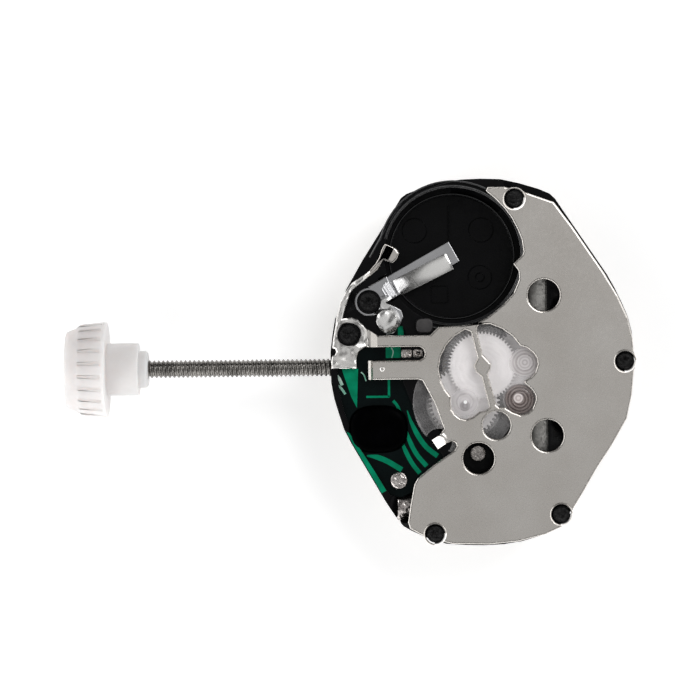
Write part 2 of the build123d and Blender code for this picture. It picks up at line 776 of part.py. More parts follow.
def across(radius, low_y, high_y):
    """A round piece along Y about the coil axis."""
    piece = Cylinder(radius, high_y - low_y, align=(Align.CENTER, Align.CENTER, Align.MIN))
    return Pos(coil_x, low_y, coil_z) * Rot(-90, 0, 0) * piece


def coil_bobbin():
    """The plastic bobbin: a thin tube and two flanges."""
    tube_radius = core_width / 2 + bobbin_wall
    end = coil_half_length + flange_thick
    bobbin = across(tube_radius, -end, end)
    bobbin += across(flange_radius, -end, -coil_half_length)
    bobbin += across(flange_radius, coil_half_length, end)
    return bobbin - coil_core()


def coil_winding():
    """The wound copper coil as one closed solid."""
    tube_radius = core_width / 2 + bobbin_wall
    winding = across(coil_radius, -coil_half_length, coil_half_length)
    return winding - across(tube_radius, -coil_half_length, coil_half_length)


def rotor_magnet():
    """The round magnet on the rotor shaft."""
    magnet = disc(magnet_radius, magnet_bottom, magnet_top, rotor_place)
    return magnet - disc(arbor_radius, magnet_bottom, magnet_top, rotor_place)


def arbor(radius, bottom, at):
    """A shaft up to the train bridge with a thin pivot at both ends."""
    shaft = disc(radius, bottom, arbor_top, at)
    shaft += disc(pivot_radius, bottom - pivot_length, bottom, at)
    return shaft + disc(pivot_radius, arbor_top, arbor_top + pivot_length, at)


def rotor_pinion():
    """The rotor shaft with its pinion."""
    shaft = arbor(arbor_radius, rotor_shaft_bottom, rotor_place)
    return shaft + gear(
        rotor_leaves, rotor_module, rotor_leaves_bottom, rotor_leaves_top, rotor_place, rotor_phase
    )


def fifth_wheel():
    """The wheel driven by the rotor, with a pinion that turns the seconds wheel."""
    wheel = arbor(fifth_arbor_radius, fifth_post_top + loose_gap, fifth_place)
    wheel += gear(
        fifth_teeth, rotor_module, third_bottom, third_bottom + wheel_thick, fifth_place, fifth_wheel_phase
    )
    wheel += gear(
        fifth_leaves, seconds_module, third_bottom + wheel_thick, fifth_leaves_top, fifth_place, fifth_phase
    )
    return wheel


def seconds_wheel():
    """The seconds wheel, its pinion, and the long arbor that carries the seconds hand."""
    wheel = disc(arbor_radius, seconds_tip, arbor_top)
    wheel += disc(pivot_radius, arbor_top, arbor_top + pivot_length)
    wheel += gear(seconds_teeth, seconds_module, seconds_bottom, seconds_bottom + wheel_thick, axis, 0)
    wheel += gear(seconds_leaves, third_module, seconds_leaves_bottom, seconds_bottom, axis, 0)
    return wheel + disc(hub_radius, seconds_bottom, seconds_bottom + wheel_thick + hub_proud)


def third_wheel():
    """The third wheel, driven by the seconds pinion and driving the centre wheel."""
    wheel = arbor(arbor_radius, third_post_top + loose_gap, third_place)
    wheel += gear(
        third_teeth, third_module, third_bottom, third_bottom + wheel_thick, third_place, third_wheel_phase
    )
    wheel += gear(
        third_leaves, centre_module, third_leaves_bottom, third_bottom, third_place, third_pinion_phase
    )
    return wheel + disc(hub_radius, third_bottom, third_bottom + wheel_thick + hub_proud, third_place)


def centre_wheel():
    """The centre wheel, held by friction on the top of the minute pipe."""
    wheel = gear(centre_teeth, centre_module, centre_bottom, centre_bottom + wheel_thick, axis, 0)
    wheel += disc(
        centre_post_radius, cannon_shoulder + running_gap, centre_bottom + wheel_thick + running_gap
    )
    return wheel - disc(cannon_seat_radius + running_gap, 0, deep)


def cannon_pinion():
    """The minute pipe with its ten leaves and the seat of the minute hand."""
    pipe = disc(minute_seat_radius, minute_tip, cannon_leaves_bottom)
    pipe += gear(cannon_leaves, motion_module, cannon_leaves_bottom, recess_top - running_gap, axis, 0)
    pipe += disc(cannon_journal_radius, cannon_leaves_bottom, cannon_shoulder)
    pipe += disc(cannon_seat_radius, cannon_shoulder, cannon_top)
    return pipe - disc(cannon_bore, minute_tip, cannon_top)


def hour_wheel():
    """The hour wheel with the pipe that carries the hour hand."""
    wheel = gear(hour_teeth, motion_module, hour_bottom, hour_top, axis, hour_phase)
    wheel += disc(hour_seat_radius, hour_tip, 0)
    wheel += disc(hour_shoulder_radius, 0, hour_hub_top)
    return wheel - disc(minute_seat_radius + running_gap, hour_tip, hour_hub_top)


def minute_wheel():
    """The minute wheel: a wheel for the minute pipe and a pinion for the hour wheel."""
    wheel = gear(minute_teeth, motion_module, minute_bottom, minute_top, minute_place, minute_phase)
    wheel += gear(
        minute_leaves, motion_module, minute_leaves_bottom, minute_bottom, minute_place, -minute_angle + 180
    )
    return wheel - disc(wheel_post_radius + running_gap, 0, deep, minute_place)


def setting_wheel():
    """The idle wheel between the clutch and the minute wheel."""
    wheel = gear(setting_teeth, motion_module, setting_bottom, setting_top, setting_place, setting_phase)
    return wheel - disc(wheel_post_radius + running_gap, 0, deep, setting_place)


def clutch_wheel():
    """The sliding clutch with face teeth, a groove for its lever and a square bore."""
    clutch = rod(clutch_radius, clutch_neck_x, clutch_face_x)
    clutch += rod(clutch_neck_radius, clutch_collar_x, clutch_neck_x)
    clutch += rod(clutch_collar_radius, clutch_end_x, clutch_collar_x)
    pitch = 360 / clutch_teeth
    half = clutch_tooth_width / 2
    piece = block(clutch_face_x, clutch_tip_x, -half, half, -clutch_radius, -clutch_ring_radius)
    for tooth in range(clutch_teeth):
        turn = (tooth - setting_offset) * pitch + pitch / 2
        clutch += Pos(0, 0, stem_z) * Rot(turn, 0, 0) * piece
    bore = Box(clutch_tip_x - clutch_end_x, clutch_bore_side, clutch_bore_side)
    return clutch - Pos((clutch_tip_x + clutch_end_x) / 2, 0, stem_z) * bore


def clutch_lever():
    """The sliding plate whose finger sits in the clutch groove."""
    lever = block(slide_low_x, slide_high_x, slide_low_y, slide_high_y, lever_bottom, lever_top)
    middle = (clutch_neck_x + clutch_collar_x) / 2
    half = finger_width / 2
    lever += block(middle - half, middle + half, finger_end_y, slide_low_y, lever_bottom, lever_top)
    half = slide_slot_half
    for x, y in slide_post_places:
        slot = block(x, x + clutch_travel, y - half, y + half, lever_bottom, lever_top)
        slot += disc(half, lever_bottom, lever_top, (x, y))
        slot += disc(half, lever_bottom, lever_top, (x + clutch_travel, y))
        lever -= slot
    return lever


def setting_lever():
    """The lever that turns about its post and moves the stem by a pin in its groove."""
    post = setting_post_place
    eye = (groove_x, 0)
    lever = disc(setting_boss_radius, lever_bottom, lever_top, post)
    lever += disc(lever_eye_radius, lever_bottom, lever_top, eye)
    length = ((eye[0] - post[0]) ** 2 + (eye[1] - post[1]) ** 2) ** 0.5
    arm = block(0, length, -lever_arm_width / 2, lever_arm_width / 2, lever_bottom, lever_top)
    lever += Pos(post[0], post[1], 0) * Rot(0, 0, direction_to(post, eye)) * arm
    lever += disc(lever_pin_radius, lever_pin_bottom, lever_bottom, eye)
    return lever - disc(setting_post_radius + running_gap, lever_bottom, lever_top, post)


def stem():
    """The winding stem: thread core, journal, groove, square and tip."""
    half = groove_width / 2
    bar = rod(thread_radius, thread_start_x, thread_end_x)
    bar += rod(journal_radius, thread_end_x, groove_x - half)
    bar += rod(groove_radius, groove_x - half, groove_x + half)
    bar += rod(journal_radius, groove_x + half, square_start_x)
    square = Box(square_end_x - square_start_x, square_side, square_side)
    bar += Pos((square_end_x + square_start_x) / 2, 0, stem_z) * square
    return bar + rod(tip_radius, square_end_x, tip_end_x)


def crown():
    """The white plastic crown with its tapered, fluted grip, hub and nose."""
    side = [
        (crown_face_x, 0),
        (crown_face_x, crown_face_radius),
        (crown_knurl_x, crown_knurl_radius),
        (crown_shoulder_x, crown_shoulder_radius),
        (crown_flange_x, crown_radius),
        (crown_hub_x, crown_radius),
        (crown_hub_x, crown_hub_radius),
        (crown_nose_x, crown_hub_radius),
        (crown_nose_x, crown_nose_radius),
        (crown_end_x, crown_nose_radius),
        (crown_end_x, 0),
    ]
    knob = revolve(make_face(Polyline(*side, close=True)), Axis.X)
    knob = Pos(0, 0, stem_z) * knob
    knob = chamfer(knob.edges().filter_by(GeomType.CIRCLE).sort_by(Axis.X)[-1], crown_round)
    points = []
    pitch = 360 / crown_flutes
    over = crown_radius + cut_overrun
    for flute in range(crown_flutes):
        middle = flute * pitch
        points.append(step_from(axis, crown_root_radius, middle - flute_root_share * pitch))
        points.append(step_from(axis, over, middle - flute_tip_share * pitch))
        points.append(step_from(axis, over, middle + flute_tip_share * pitch))
        points.append(step_from(axis, crown_root_radius, middle + flute_root_share * pitch))
    ridges = slab(points, 0, crown_flange_x - crown_knurl_x)
    ridges = Pos(crown_knurl_x, 0, stem_z) * Rot(0, 90, 0) * ridges
    knob -= rod(over, crown_knurl_x, crown_flange_x) - ridges
    return knob - rod(thread_radius, thread_start_x, crown_end_x)


def contact_pin():
    """The round metal pin beside the circuit board."""
    return disc(contact_pin_radius, contact_pin_bottom, contact_pin_top, place(contact_pin_share))


def guide_pin():
    """The steel pin seen in the large round hole of the back plate."""
    return disc(guide_pin_radius, guide_pin_bottom, guide_pin_top, guide_pin_place)


parts = [
    main_plate,
    dial_side_plate,
    back_plate,
    train_bridge,
    negative_contact,
    circuit_board,
    ic_potting,
    contact_pin,
    guide_pin,
    quartz_crystal,
    stator,
    coil_core,
    coil_bobbin,
    coil_winding,
    rotor_magnet,
    rotor_pinion,
    fifth_wheel,
    seconds_wheel,
    third_wheel,
    centre_wheel,
    cannon_pinion,
    hour_wheel,
    minute_wheel,
    setting_wheel,
    clutch_wheel,
    clutch_lever,
    setting_lever,
    stem,
    crown,
]

os.makedirs("parts", exist_ok=True)
for part in parts:
    export_step(part(), f"parts/{part.__name__}.step")
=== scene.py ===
import json
from math import cos, pi, radians, sin, tau

import bmesh
import bpy
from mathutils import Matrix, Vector, noise


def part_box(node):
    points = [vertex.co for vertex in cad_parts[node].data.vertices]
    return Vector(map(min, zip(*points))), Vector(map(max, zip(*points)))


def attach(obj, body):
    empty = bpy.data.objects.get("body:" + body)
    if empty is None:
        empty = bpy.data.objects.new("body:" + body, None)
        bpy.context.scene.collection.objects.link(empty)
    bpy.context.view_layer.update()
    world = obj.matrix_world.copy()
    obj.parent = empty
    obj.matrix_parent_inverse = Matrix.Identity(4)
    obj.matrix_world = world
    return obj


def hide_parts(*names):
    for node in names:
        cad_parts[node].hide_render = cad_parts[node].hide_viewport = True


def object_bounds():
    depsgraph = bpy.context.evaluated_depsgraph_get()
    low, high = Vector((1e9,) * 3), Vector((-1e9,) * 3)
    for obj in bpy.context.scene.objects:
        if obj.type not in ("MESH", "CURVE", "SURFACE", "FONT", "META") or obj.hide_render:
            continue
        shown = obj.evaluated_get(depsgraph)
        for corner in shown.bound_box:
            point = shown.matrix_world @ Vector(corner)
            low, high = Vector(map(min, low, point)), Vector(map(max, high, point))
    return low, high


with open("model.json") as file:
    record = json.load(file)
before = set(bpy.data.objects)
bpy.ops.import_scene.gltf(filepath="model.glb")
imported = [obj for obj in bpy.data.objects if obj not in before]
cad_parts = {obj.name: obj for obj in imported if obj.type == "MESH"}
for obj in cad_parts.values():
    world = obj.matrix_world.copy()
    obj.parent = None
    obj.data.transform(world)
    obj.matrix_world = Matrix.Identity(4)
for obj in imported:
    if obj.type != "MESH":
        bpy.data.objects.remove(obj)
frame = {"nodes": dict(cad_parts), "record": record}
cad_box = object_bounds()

# Looks of a small quartz watch movement, battery side up. Lengths below are in
# millimetres and become metres when a mesh is finished.

mm = 0.001

# Photograph: the pixel of the hand axis, and millimetres in a pixel at the plate
axis_pixel = (483, 366)
hand_axis = (0, 0)
pixel_size = 0.05
picture_side = 700

# Camera: lens and sensor in millimetres, roll in degrees, and clip distances in metres
lens = 150.0
sensor = 36.0
camera_roll = 0.6
clip_near = 0.005
clip_far = 2.0


def corners(node):
    """The lowest and the highest corner of a node, in millimetres."""
    return [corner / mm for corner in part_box(node)]


def middle(node):
    """The place in millimetres of the middle of a node's box."""
    low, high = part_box(node)
    return (low.x + high.x) / 2 / mm, (low.y + high.y) / 2 / mm


def at_pixel(x, y):
    """The place in millimetres under a pixel of the photograph."""
    return (x - axis_pixel[0]) * pixel_size, (axis_pixel[1] - y) * pixel_size


def shifted(place, x, y):
    """A place moved by x and y."""
    return place[0] + x, place[1] + y


def tint(red, green, blue):
    """A linear colour from screen values between 0 and 255."""
    linear = []
    for value in (red, green, blue):
        share = value / 255
        linear.append(share / 12.92 if share <= 0.04045 else ((share + 0.055) / 1.055) ** 2.4)
    return (*linear, 1.0)


# Heights and places read from the frame
board_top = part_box("circuit_board")[1].z / mm
plate_top = corners("back_plate")[1].z
stud_top = corners("main_plate")[1].z
drop_low, drop_high = corners("ic_potting")
stem_start = corners("stem")[0].x
crown_low, crown_high = corners("crown")
stem_z = (crown_low.z + crown_high.z) / 2
fifth_place = middle("fifth_wheel")
third_place = middle("third_wheel")
rotor_place = middle("rotor_magnet")

# Sizes of the solids that their boxes don't give. Studs are shares of half the width and height.
half_width = 7.62
half_height = 9.10
body_top = 2.44
well_place = (-1.433, 5.569)
well_radius = 3.45
well_floor = 0.45
ledge_radius = 3.08
ledge_top = 0.70
leaf_top = 1.00
leaf_angle = 29.0
stud_shares = ((0.217, 0.918), (0.934, 0.019), (0.505, -0.819), (-0.325, -0.921))

# How far a raised mark, and a thin trim, reach into what carries them
mark_sink = 0.02
trim_sink = 0.01


# Materials


class Shader:
    """A node material with coordinates in millimetres."""

    def __init__(self, name):
        self.material = bpy.data.materials.new(name)
        self.material.use_nodes = True
        self.tree = self.material.node_tree
        self.tree.nodes.clear()
        self.surface = self.tree.nodes.new("ShaderNodeBsdfPrincipled")
        output = self.tree.nodes.new("ShaderNodeOutputMaterial")
        self.tree.links.new(self.surface.outputs[0], output.inputs[0])
        coordinates = self.tree.nodes.new("ShaderNodeTexCoord")
        self.place = self.node("ShaderNodeMapping")
        self.place.inputs["Scale"].default_value = (1 / mm, 1 / mm, 1 / mm)
        self.link(coordinates.outputs["Object"], self.place.inputs["Vector"])

    def node(self, kind, **values):
        """A new node with its settings."""
        made = self.tree.nodes.new(kind)
        for key, value in values.items():
            setattr(made, key, value)
        return made

    def link(self, source, target):
        """Joins two sockets."""
        self.tree.links.new(source, target)

    def set(self, socket, value):
        """Sets one value of the surface, the same all over."""
        self.surface.inputs[socket].default_value = value

    def feed(self, socket, source):
        """Gives one input of the surface a value that varies."""
        self.link(source, self.surface.inputs[socket])

    def stretched(self, scale, turn):
        """Coordinates in millimetres, stretched and turned about Z by degrees."""
        made = self.node("ShaderNodeMapping")
        made.inputs["Scale"].default_value = scale
        made.inputs["Rotation"].default_value = (0, 0, radians(turn))
        self.link(self.place.outputs[0], made.inputs["Vector"])
        return made.outputs[0]

    def along(self, letter, vector=None):
        """One coordinate in millimetres."""
        made = self.node("ShaderNodeSeparateXYZ")
        self.link(vector or self.place.outputs[0], made.inputs[0])
        return made.outputs[letter]

    def noise(self, scale, detail=3.0, rough=0.55, vector=None):
        """Soft random patches; a larger scale makes smaller patches."""
        made = self.node("ShaderNodeTexNoise")
        made.inputs["Scale"].default_value = scale
        made.inputs["Detail"].default_value = detail
        made.inputs["Roughness"].default_value = rough
        self.link(vector or self.place.outputs[0], made.inputs["Vector"])
        return made.outputs["Fac"]

    def ramp(self, source, *stops):
        """A colour ramp with stops given as position and colour."""
        made = self.node("ShaderNodeValToRGB")
        elements = made.color_ramp.elements
        for element, (position, colour) in zip(elements, stops):
            element.position = position
            element.color = colour
        self.link(source, made.inputs["Fac"])
        return made.outputs["Color"]

    def span(self, source, low, high, start=0.3, end=0.7):
        """Maps a range, as it comes the middle of a noise, onto another."""
        made = self.node("ShaderNodeMapRange")
        made.inputs["From Min"].default_value = start
        made.inputs["From Max"].default_value = end
        made.inputs["To Min"].default_value = low
        made.inputs["To Max"].default_value = high
        self.link(source, made.inputs["Value"])
        return made.outputs[0]

    def patches(self, dark, light, scale, detail=3.0):
        """Two colours that pass into each other in soft patches."""
        return self.ramp(self.noise(scale, detail), (0.3, dark), (0.7, light))

    def uneven(self, value, less, more, scale, detail=3.0):
        """A value that is less in some soft patches and more in others."""
        return self.span(self.noise(scale, detail), value - less, value + more)

    def math(self, operation, first, second=0):
        """An operation on two values, each a number or a socket."""
        made = self.node("ShaderNodeMath", operation=operation)
        for slot, value in enumerate((first, second)):
            if isinstance(value, (int, float)):
                made.inputs[slot].default_value = value
            else:
                self.link(value, made.inputs[slot])
        return made.outputs[0]

    def sum(self, first, second):
        """The sum of two values."""
        return self.math("ADD", first, second)

    def times(self, first, second):
        """The product of two values."""
        return self.math("MULTIPLY", first, second)

    def most(self, first, second):
        """The larger of two values."""
        return self.math("MAXIMUM", first, second)

    def wave(self, source, pace):
        """Even waves along a length, at a pace in radians a millimetre."""
        return self.math("SINE", self.times(source, pace))

    def mix(self, share, first, second):
        """Blends two colours by a share."""
        made = self.node("ShaderNodeMix", data_type="RGBA")
        self.link(share, made.inputs["Factor"])
        for name, value in (("A", first), ("B", second)):
            socket = [i for i in made.inputs if i.name == name and i.type == "RGBA"][0]
            if isinstance(value, tuple):
                socket.default_value = value
            else:
                self.link(value, socket)
        return [o for o in made.outputs if o.type == "RGBA"][0]

    def radius_from(self, at):
        """Distance in millimetres from an upright axis."""
        moved = self.node("ShaderNodeMapping")
        moved.inputs["Location"].default_value = (-at[0], -at[1], 0)
        moved.inputs["Scale"].default_value = (1, 1, 0)
        self.link(self.place.outputs[0], moved.inputs["Vector"])
        length = self.node("ShaderNodeVectorMath", operation="LENGTH")
        self.link(moved.outputs[0], length.inputs[0])
        return length.outputs["Value"]

    def spot(self, at, inner, outer, strength=1.0):
        """A round zone: full strength inside the inner radius and none outside the outer one."""
        return self.span(self.radius_from(at), strength, 0.0, inner, outer)

    def bump(self, source, height, edge=0.0):
        """Raises the surface by a height in millimetres, with edges rounded by a radius."""
        made = self.node("ShaderNodeBump")
        made.inputs["Strength"].default_value = 1.0
        made.inputs["Distance"].default_value = height * mm
        self.link(source, made.inputs["Height"])
        if edge:
            rounded = self.node("ShaderNodeBevel", samples=4)
            rounded.inputs["Radius"].default_value = edge * mm
            self.link(rounded.outputs[0], made.inputs["Normal"])
        self.feed("Normal", made.outputs[0])


# Nickel sheet: direction of its brushing, and how deep each kind of mark is in its relief
brush_turn = 88.0
brush_depth = 0.02
formed_depth = 9.0
crease_depth = 0.4
sheet_relief = 0.035

# Turned marks: radians a millimetre, and depth as a share of the relief
wheel_ring_pace = 26.0
bearing_ring_pace = 40.0
ring_depth = 0.25

# Where a bearing starts to fade into the bridge, as a share of its radius
bearing_fade = 0.82


def nickel(name, dark, light, rough, wave, streak, bent_and_highlit=None, bright=None, creases=None):
    """Plated sheet with a fine brushed grain. Where bent_and_highlit marks it, the sheet is wavy and
    takes the bright colour, a painted highlight; creases are fine lines that cross it."""
    made = Shader(name)
    made.set("Metallic", 1.0)
    base = made.patches(dark, light, scale=0.35, detail=4.0)
    made.feed("Roughness", made.uneven(rough, less=0.05, more=0.06, scale=9.0, detail=2.0))
    brushed = made.noise(scale=3.0, detail=2.0, vector=made.stretched((1.0, streak, 1.0), brush_turn))
    flat_waves = made.times(made.noise(scale=0.5, detail=1.0), wave)
    height = made.sum(flat_waves, made.times(brushed, brush_depth))
    if bent_and_highlit:
        zone = bent_and_highlit(made)
        waves = made.times(made.noise(scale=1.15, detail=1.0), formed_depth)
        height = made.sum(height, made.times(zone, waves))
        # Painted highlight: the bent places take the bright colour
        base = made.mix(zone, base, bright)
    if creases:
        height = made.sum(height, made.times(creases(made), crease_depth))
    made.feed("Base Color", base)
    made.bump(height, sheet_relief)
    return made.material


def plastic(name, dark, light, rough, specular, relief, grain=12.0, edge=0.0):
    """Moulded plastic; relief is the height of its grain, and edge the radius of its edges."""
    made = Shader(name)
    made.feed("Base Color", made.patches(dark, light, scale=1.3, detail=4.0))
    made.feed("Roughness", made.uneven(rough, less=0.08, more=0.10, scale=4.0))
    made.set("Specular IOR Level", specular)
    made.bump(made.noise(grain), relief, edge)
    return made.material


def milky(name, colour, shadow, scatter, reach, rings=None):
    """White plastic that light enters to a reach in millimetres. Rings is the upright axis
    of its turned marks."""
    made = Shader(name)
    made.feed("Base Color", made.patches(shadow, colour, scale=0.9))
    made.feed("Roughness", made.span(made.noise(scale=5.0), low=0.30, high=0.46))
    made.set("Subsurface Weight", scatter)
    made.set("Subsurface Radius", (1.0, 0.9, 0.85))
    made.set("Subsurface Scale", reach * mm)
    made.set("Specular IOR Level", 0.35)
    height = made.noise(scale=6.0, detail=2.0)
    if rings:
        marks = made.wave(made.radius_from(rings), wheel_ring_pace)
        height = made.sum(height, made.times(marks, ring_depth))
    made.bump(height, 0.012, edge=0.02)
    return made.material


def metal(name, dark, light, rough, relief, grain, shade_along_x=None):
    """Turned or blanked metal with fine marks. The shade_along_x is two places along X, between which
    a painted shade gives way to the metal, and the colour of that shade."""
    made = Shader(name)
    made.set("Metallic", 1.0)
    base = made.patches(dark, light, scale=1.6, detail=4.0)
    if shade_along_x:
        start, end, colour = shade_along_x
        # Painted shade: darker towards -X
        base = made.mix(made.span(made.along("X"), 0.0, 1.0, start, end), colour, base)
    made.feed("Base Color", base)
    made.feed("Roughness", made.uneven(rough, less=0.06, more=0.08, scale=8.0))
    made.bump(made.noise(grain), relief, edge=0.02)
    return made.material


def clear(name, colour, pale, alpha, zones):
    """Clear plastic. A zone is a bearing, a painted shade or a painted highlight: its place and
    radius, the two colours of its rings, and how much it hides."""
    made = Shader(name)
    base = made.patches(colour, pale, scale=1.1)
    hiding = made.uneven(alpha, less=0.03, more=0.03, scale=1.2, detail=1.0)
    height = made.noise(scale=0.9, detail=1.0)
    for at, reach, dark, light, strength in zones:
        radius = made.radius_from(at)
        inside = made.span(radius, 1.0, 0.0, reach * bearing_fade, reach)
        rings = made.wave(radius, bearing_ring_pace)
        ring_colour = made.ramp(made.span(rings, 0, 1, start=-1, end=1), (0.25, dark), (0.75, light))
        base = made.mix(inside, base, ring_colour)
        hiding = made.sum(hiding, made.times(inside, strength))
        height = made.sum(height, made.times(made.times(rings, inside), ring_depth))
    made.feed("Base Color", base)
    made.feed("Alpha", hiding)
    made.feed("Roughness", made.span(made.noise(scale=6.0), low=0.08, high=0.20))
    made.set("Specular IOR Level", 0.5)
    made.bump(height, 0.018, edge=0.03)
    return made.material


def winding(name, dark, light):
    """Fine enamelled wire wound along Y."""
    made = Shader(name)
    wires = made.node("ShaderNodeTexWave", wave_type="BANDS", bands_direction="Y")
    wires.inputs["Scale"].default_value = 9.0
    wires.inputs["Distortion"].default_value = 0.6
    made.link(made.place.outputs[0], wires.inputs["Vector"])
    made.feed("Base Color", made.ramp(wires.outputs["Fac"], (0.2, dark), (0.8, light)))
    made.set("Metallic", 0.8)
    made.feed("Roughness", made.span(made.noise(scale=6.0), low=0.25, high=0.4))
    made.bump(wires.outputs["Fac"], 0.03)
    return made.material


# Bearings of the clear bridge, among them painted shade and painted highlights: place, radius,
# colours of the rings, and how much they hide
bearings_and_painted_light = [
    (fifth_place, 0.80, tint(186, 181, 181), tint(214, 209, 209), 0.42),
    (third_place, 0.72, tint(212, 208, 209), tint(220, 216, 217), 0.34),
    # Painted shade just below the third wheel's bearing
    (shifted(third_place, 0, -0.20), 0.28, tint(150, 146, 147), tint(166, 162, 163), 0.12),
    # Painted highlight on the third wheel's pivot
    (shifted(third_place, 0.02, 0), 0.10, tint(248, 246, 246), tint(252, 251, 251), 0.40),
    (rotor_place, 0.86, tint(104, 92, 90), tint(150, 139, 136), 0.46),
    # Painted highlight up and left of the rotor's bearing
    (shifted(rotor_place, -0.08, 0.06), 0.26, tint(188, 176, 174), tint(222, 213, 211), 0.26),
]

# Formed metal, wavy and with a painted highlight: where the terminal's joggle starts and ends
# along X, and pixels of the rest
terminal_end_x = -5.95
terminal_start_x = -5.60
finger_pixel = (437, 441)
tail_pixel = (387, 319)
highlight_pixel = (386, 303)
crease_pixel = (391, 288)
crease_pace = 42.0


def plate_bends_highlit(made):
    """The joggled terminal of the back plate, left of its two arms, and its bent finger: wavy, and
    lighter as a painted highlight.
    """
    terminal = made.span(made.along("X"), 1.0, 0.0, terminal_end_x, terminal_start_x)
    finger = made.spot(at_pixel(*finger_pixel), inner=0.42, outer=0.50, strength=0.2)
    return made.most(terminal, finger)


def contact_tail_highlight(made):
    """The rounded tail of the contact, and a spot between its ring and its leaf: wavy, and lighter
    as a painted highlight.
    """
    tail = made.spot(at_pixel(*tail_pixel), inner=0.50, outer=0.70)
    highlight_spot = made.spot(at_pixel(*highlight_pixel), inner=0.25, outer=0.45, strength=0.7)
    return made.most(tail, highlight_spot)


def contact_bends(made):
    """Fine creases across the contact where its leaf turns down into the well."""
    turned = made.stretched((1.0, 1.0, 0.0), -leaf_angle)
    creases = made.wave(made.along("X", turned), crease_pace)
    return made.times(creases, made.spot(at_pixel(*crease_pixel), inner=0.34, outer=0.44))


# Sheets: dark and light tone, roughness, height of the waves, and fineness of the brushing
nickel_plate = nickel(
    "nickel_plate",
    tint(198, 193, 187),
    tint(208, 204, 199),
    rough=0.26,
    wave=0.20,
    streak=5.0,
    # The terminal and finger take the bright tone below, a painted highlight
    bent_and_highlit=plate_bends_highlit,
    bright=tint(232, 230, 227),
)
# Lighter nickel for the studs' crescents and the dent's ring, a painted highlight
nickel_highlight = nickel("nickel_highlight", tint(222, 219, 216), tint(244, 243, 241), 0.17, 1.6, 2.0)
nickel_dial = nickel("nickel_dial", tint(186, 182, 176), tint(212, 207, 201), 0.34, 0.3, 4.0)
spring = nickel(
    "spring",
    tint(166, 166, 168),
    tint(190, 190, 192),
    rough=0.24,
    wave=0.4,
    streak=3.0,
    bent_and_highlit=contact_tail_highlight,
    # The tail and the spot take the bright tone, a painted highlight
    bright=tint(240, 239, 237),
    creases=contact_bends,
)
# Lighter spring metal for the tongue, a painted highlight
spring_highlight = nickel("spring_highlight", tint(236, 235, 232), tint(250, 249, 247), 0.20, 1.2, 9.0)

# Plastics: dark and light tone, roughness, shine, height of the grain, and its fineness
black = plastic("black", tint(3, 3, 4), tint(8, 8, 10), 0.30, 0.10, 0.005, 14.0, edge=0.05)
# Black plastic of ridges and edges: shinier, and lighter in tone as a painted sheen
black_edge_sheen = plastic("black_edge_sheen", tint(10, 10, 12), tint(24, 24, 26), 0.20, 0.70, 0.006, 6.0)
black_rough = plastic("black_rough", tint(2, 2, 3), tint(12, 11, 11), 0.14, 0.17, 0.42, 6.5)
board_mask = plastic("board_mask", tint(3, 8, 9), tint(6, 15, 15), 0.30, 0.06, 0.012, 3.0)
track = plastic("track", tint(0, 106, 75), tint(2, 132, 96), 0.32, 0.06, 0.012, 4.0)
track_pale = plastic("track_pale", tint(60, 150, 122), tint(196, 214, 204), 0.34, 0.40, 0.05, 6.0)
drop_black = plastic("drop_black", tint(0, 0, 0), tint(2, 2, 3), 0.34, 0.01, 0.004, 3.0)
grey = plastic("grey", tint(92, 92, 95), tint(120, 120, 122), 0.40, 0.30, 0.01)
grey_dark = plastic("grey_dark", tint(92, 91, 91), tint(118, 117, 117), 0.40, 0.30, 0.01)
boss_grey = plastic("boss_grey", tint(44, 42, 43), tint(66, 64, 64), 0.36, 0.40, 0.02, 5.0)

# Metals: dark and light tone, roughness, height of the marks, and their fineness
steel = metal("steel", tint(104, 102, 99), tint(158, 155, 151), 0.24, 0.010, 10.0)
steel_mottled = metal("steel_mottled", tint(150, 142, 140), tint(240, 234, 230), 0.22, 0.14, 2.2)
steel_dull = metal("steel_dull", tint(108, 104, 101), tint(204, 198, 194), 0.26, 0.12, 2.6)

# Painted shade on the stator, darker towards -X: from its first place along X to its second,
# and its colour
iron_painted_shade = (2.40, 3.08, tint(52, 50, 47))
iron = metal("iron", tint(172, 170, 166), tint(216, 214, 210), 0.30, 0.05, 2.0, iron_painted_shade)

magnet = metal("magnet", tint(74, 58, 54), tint(112, 90, 84), 0.36, 0.02, 8.0)
brass = metal("brass", tint(186, 152, 92), tint(214, 182, 122), 0.26, 0.006, 9.0)
# Brass of the setting wheel, darker and greyer: painted shade
brass_shaded = metal("brass_shaded", tint(84, 78, 68), tint(112, 104, 90), 0.36, 0.006, 9.0)

# Clear plastic: two tones, how much it hides, and its bearings
bridge_clear = clear("bridge_clear", tint(226, 223, 224), tint(246, 244, 244), 0.13, bearings_and_painted_light)
wire = winding("wire", tint(92, 40, 18), tint(196, 108, 62))

# Pale plastics: light tone, tone of the shadows, how much light enters, and how far
crown_white = milky("crown_white", tint(229, 226, 225), tint(221, 217, 216), 0.95, 1.5)
wheel_white = milky("wheel_white", tint(252, 248, 248), tint(242, 238, 238), 0.10, 0.5, hand_axis)
# The fifth wheel's white plastic, darker: painted shade
wheel_white_shaded = milky("wheel_white_shaded", tint(226, 222, 222), tint(210, 206, 206), 0.10, 0.5)

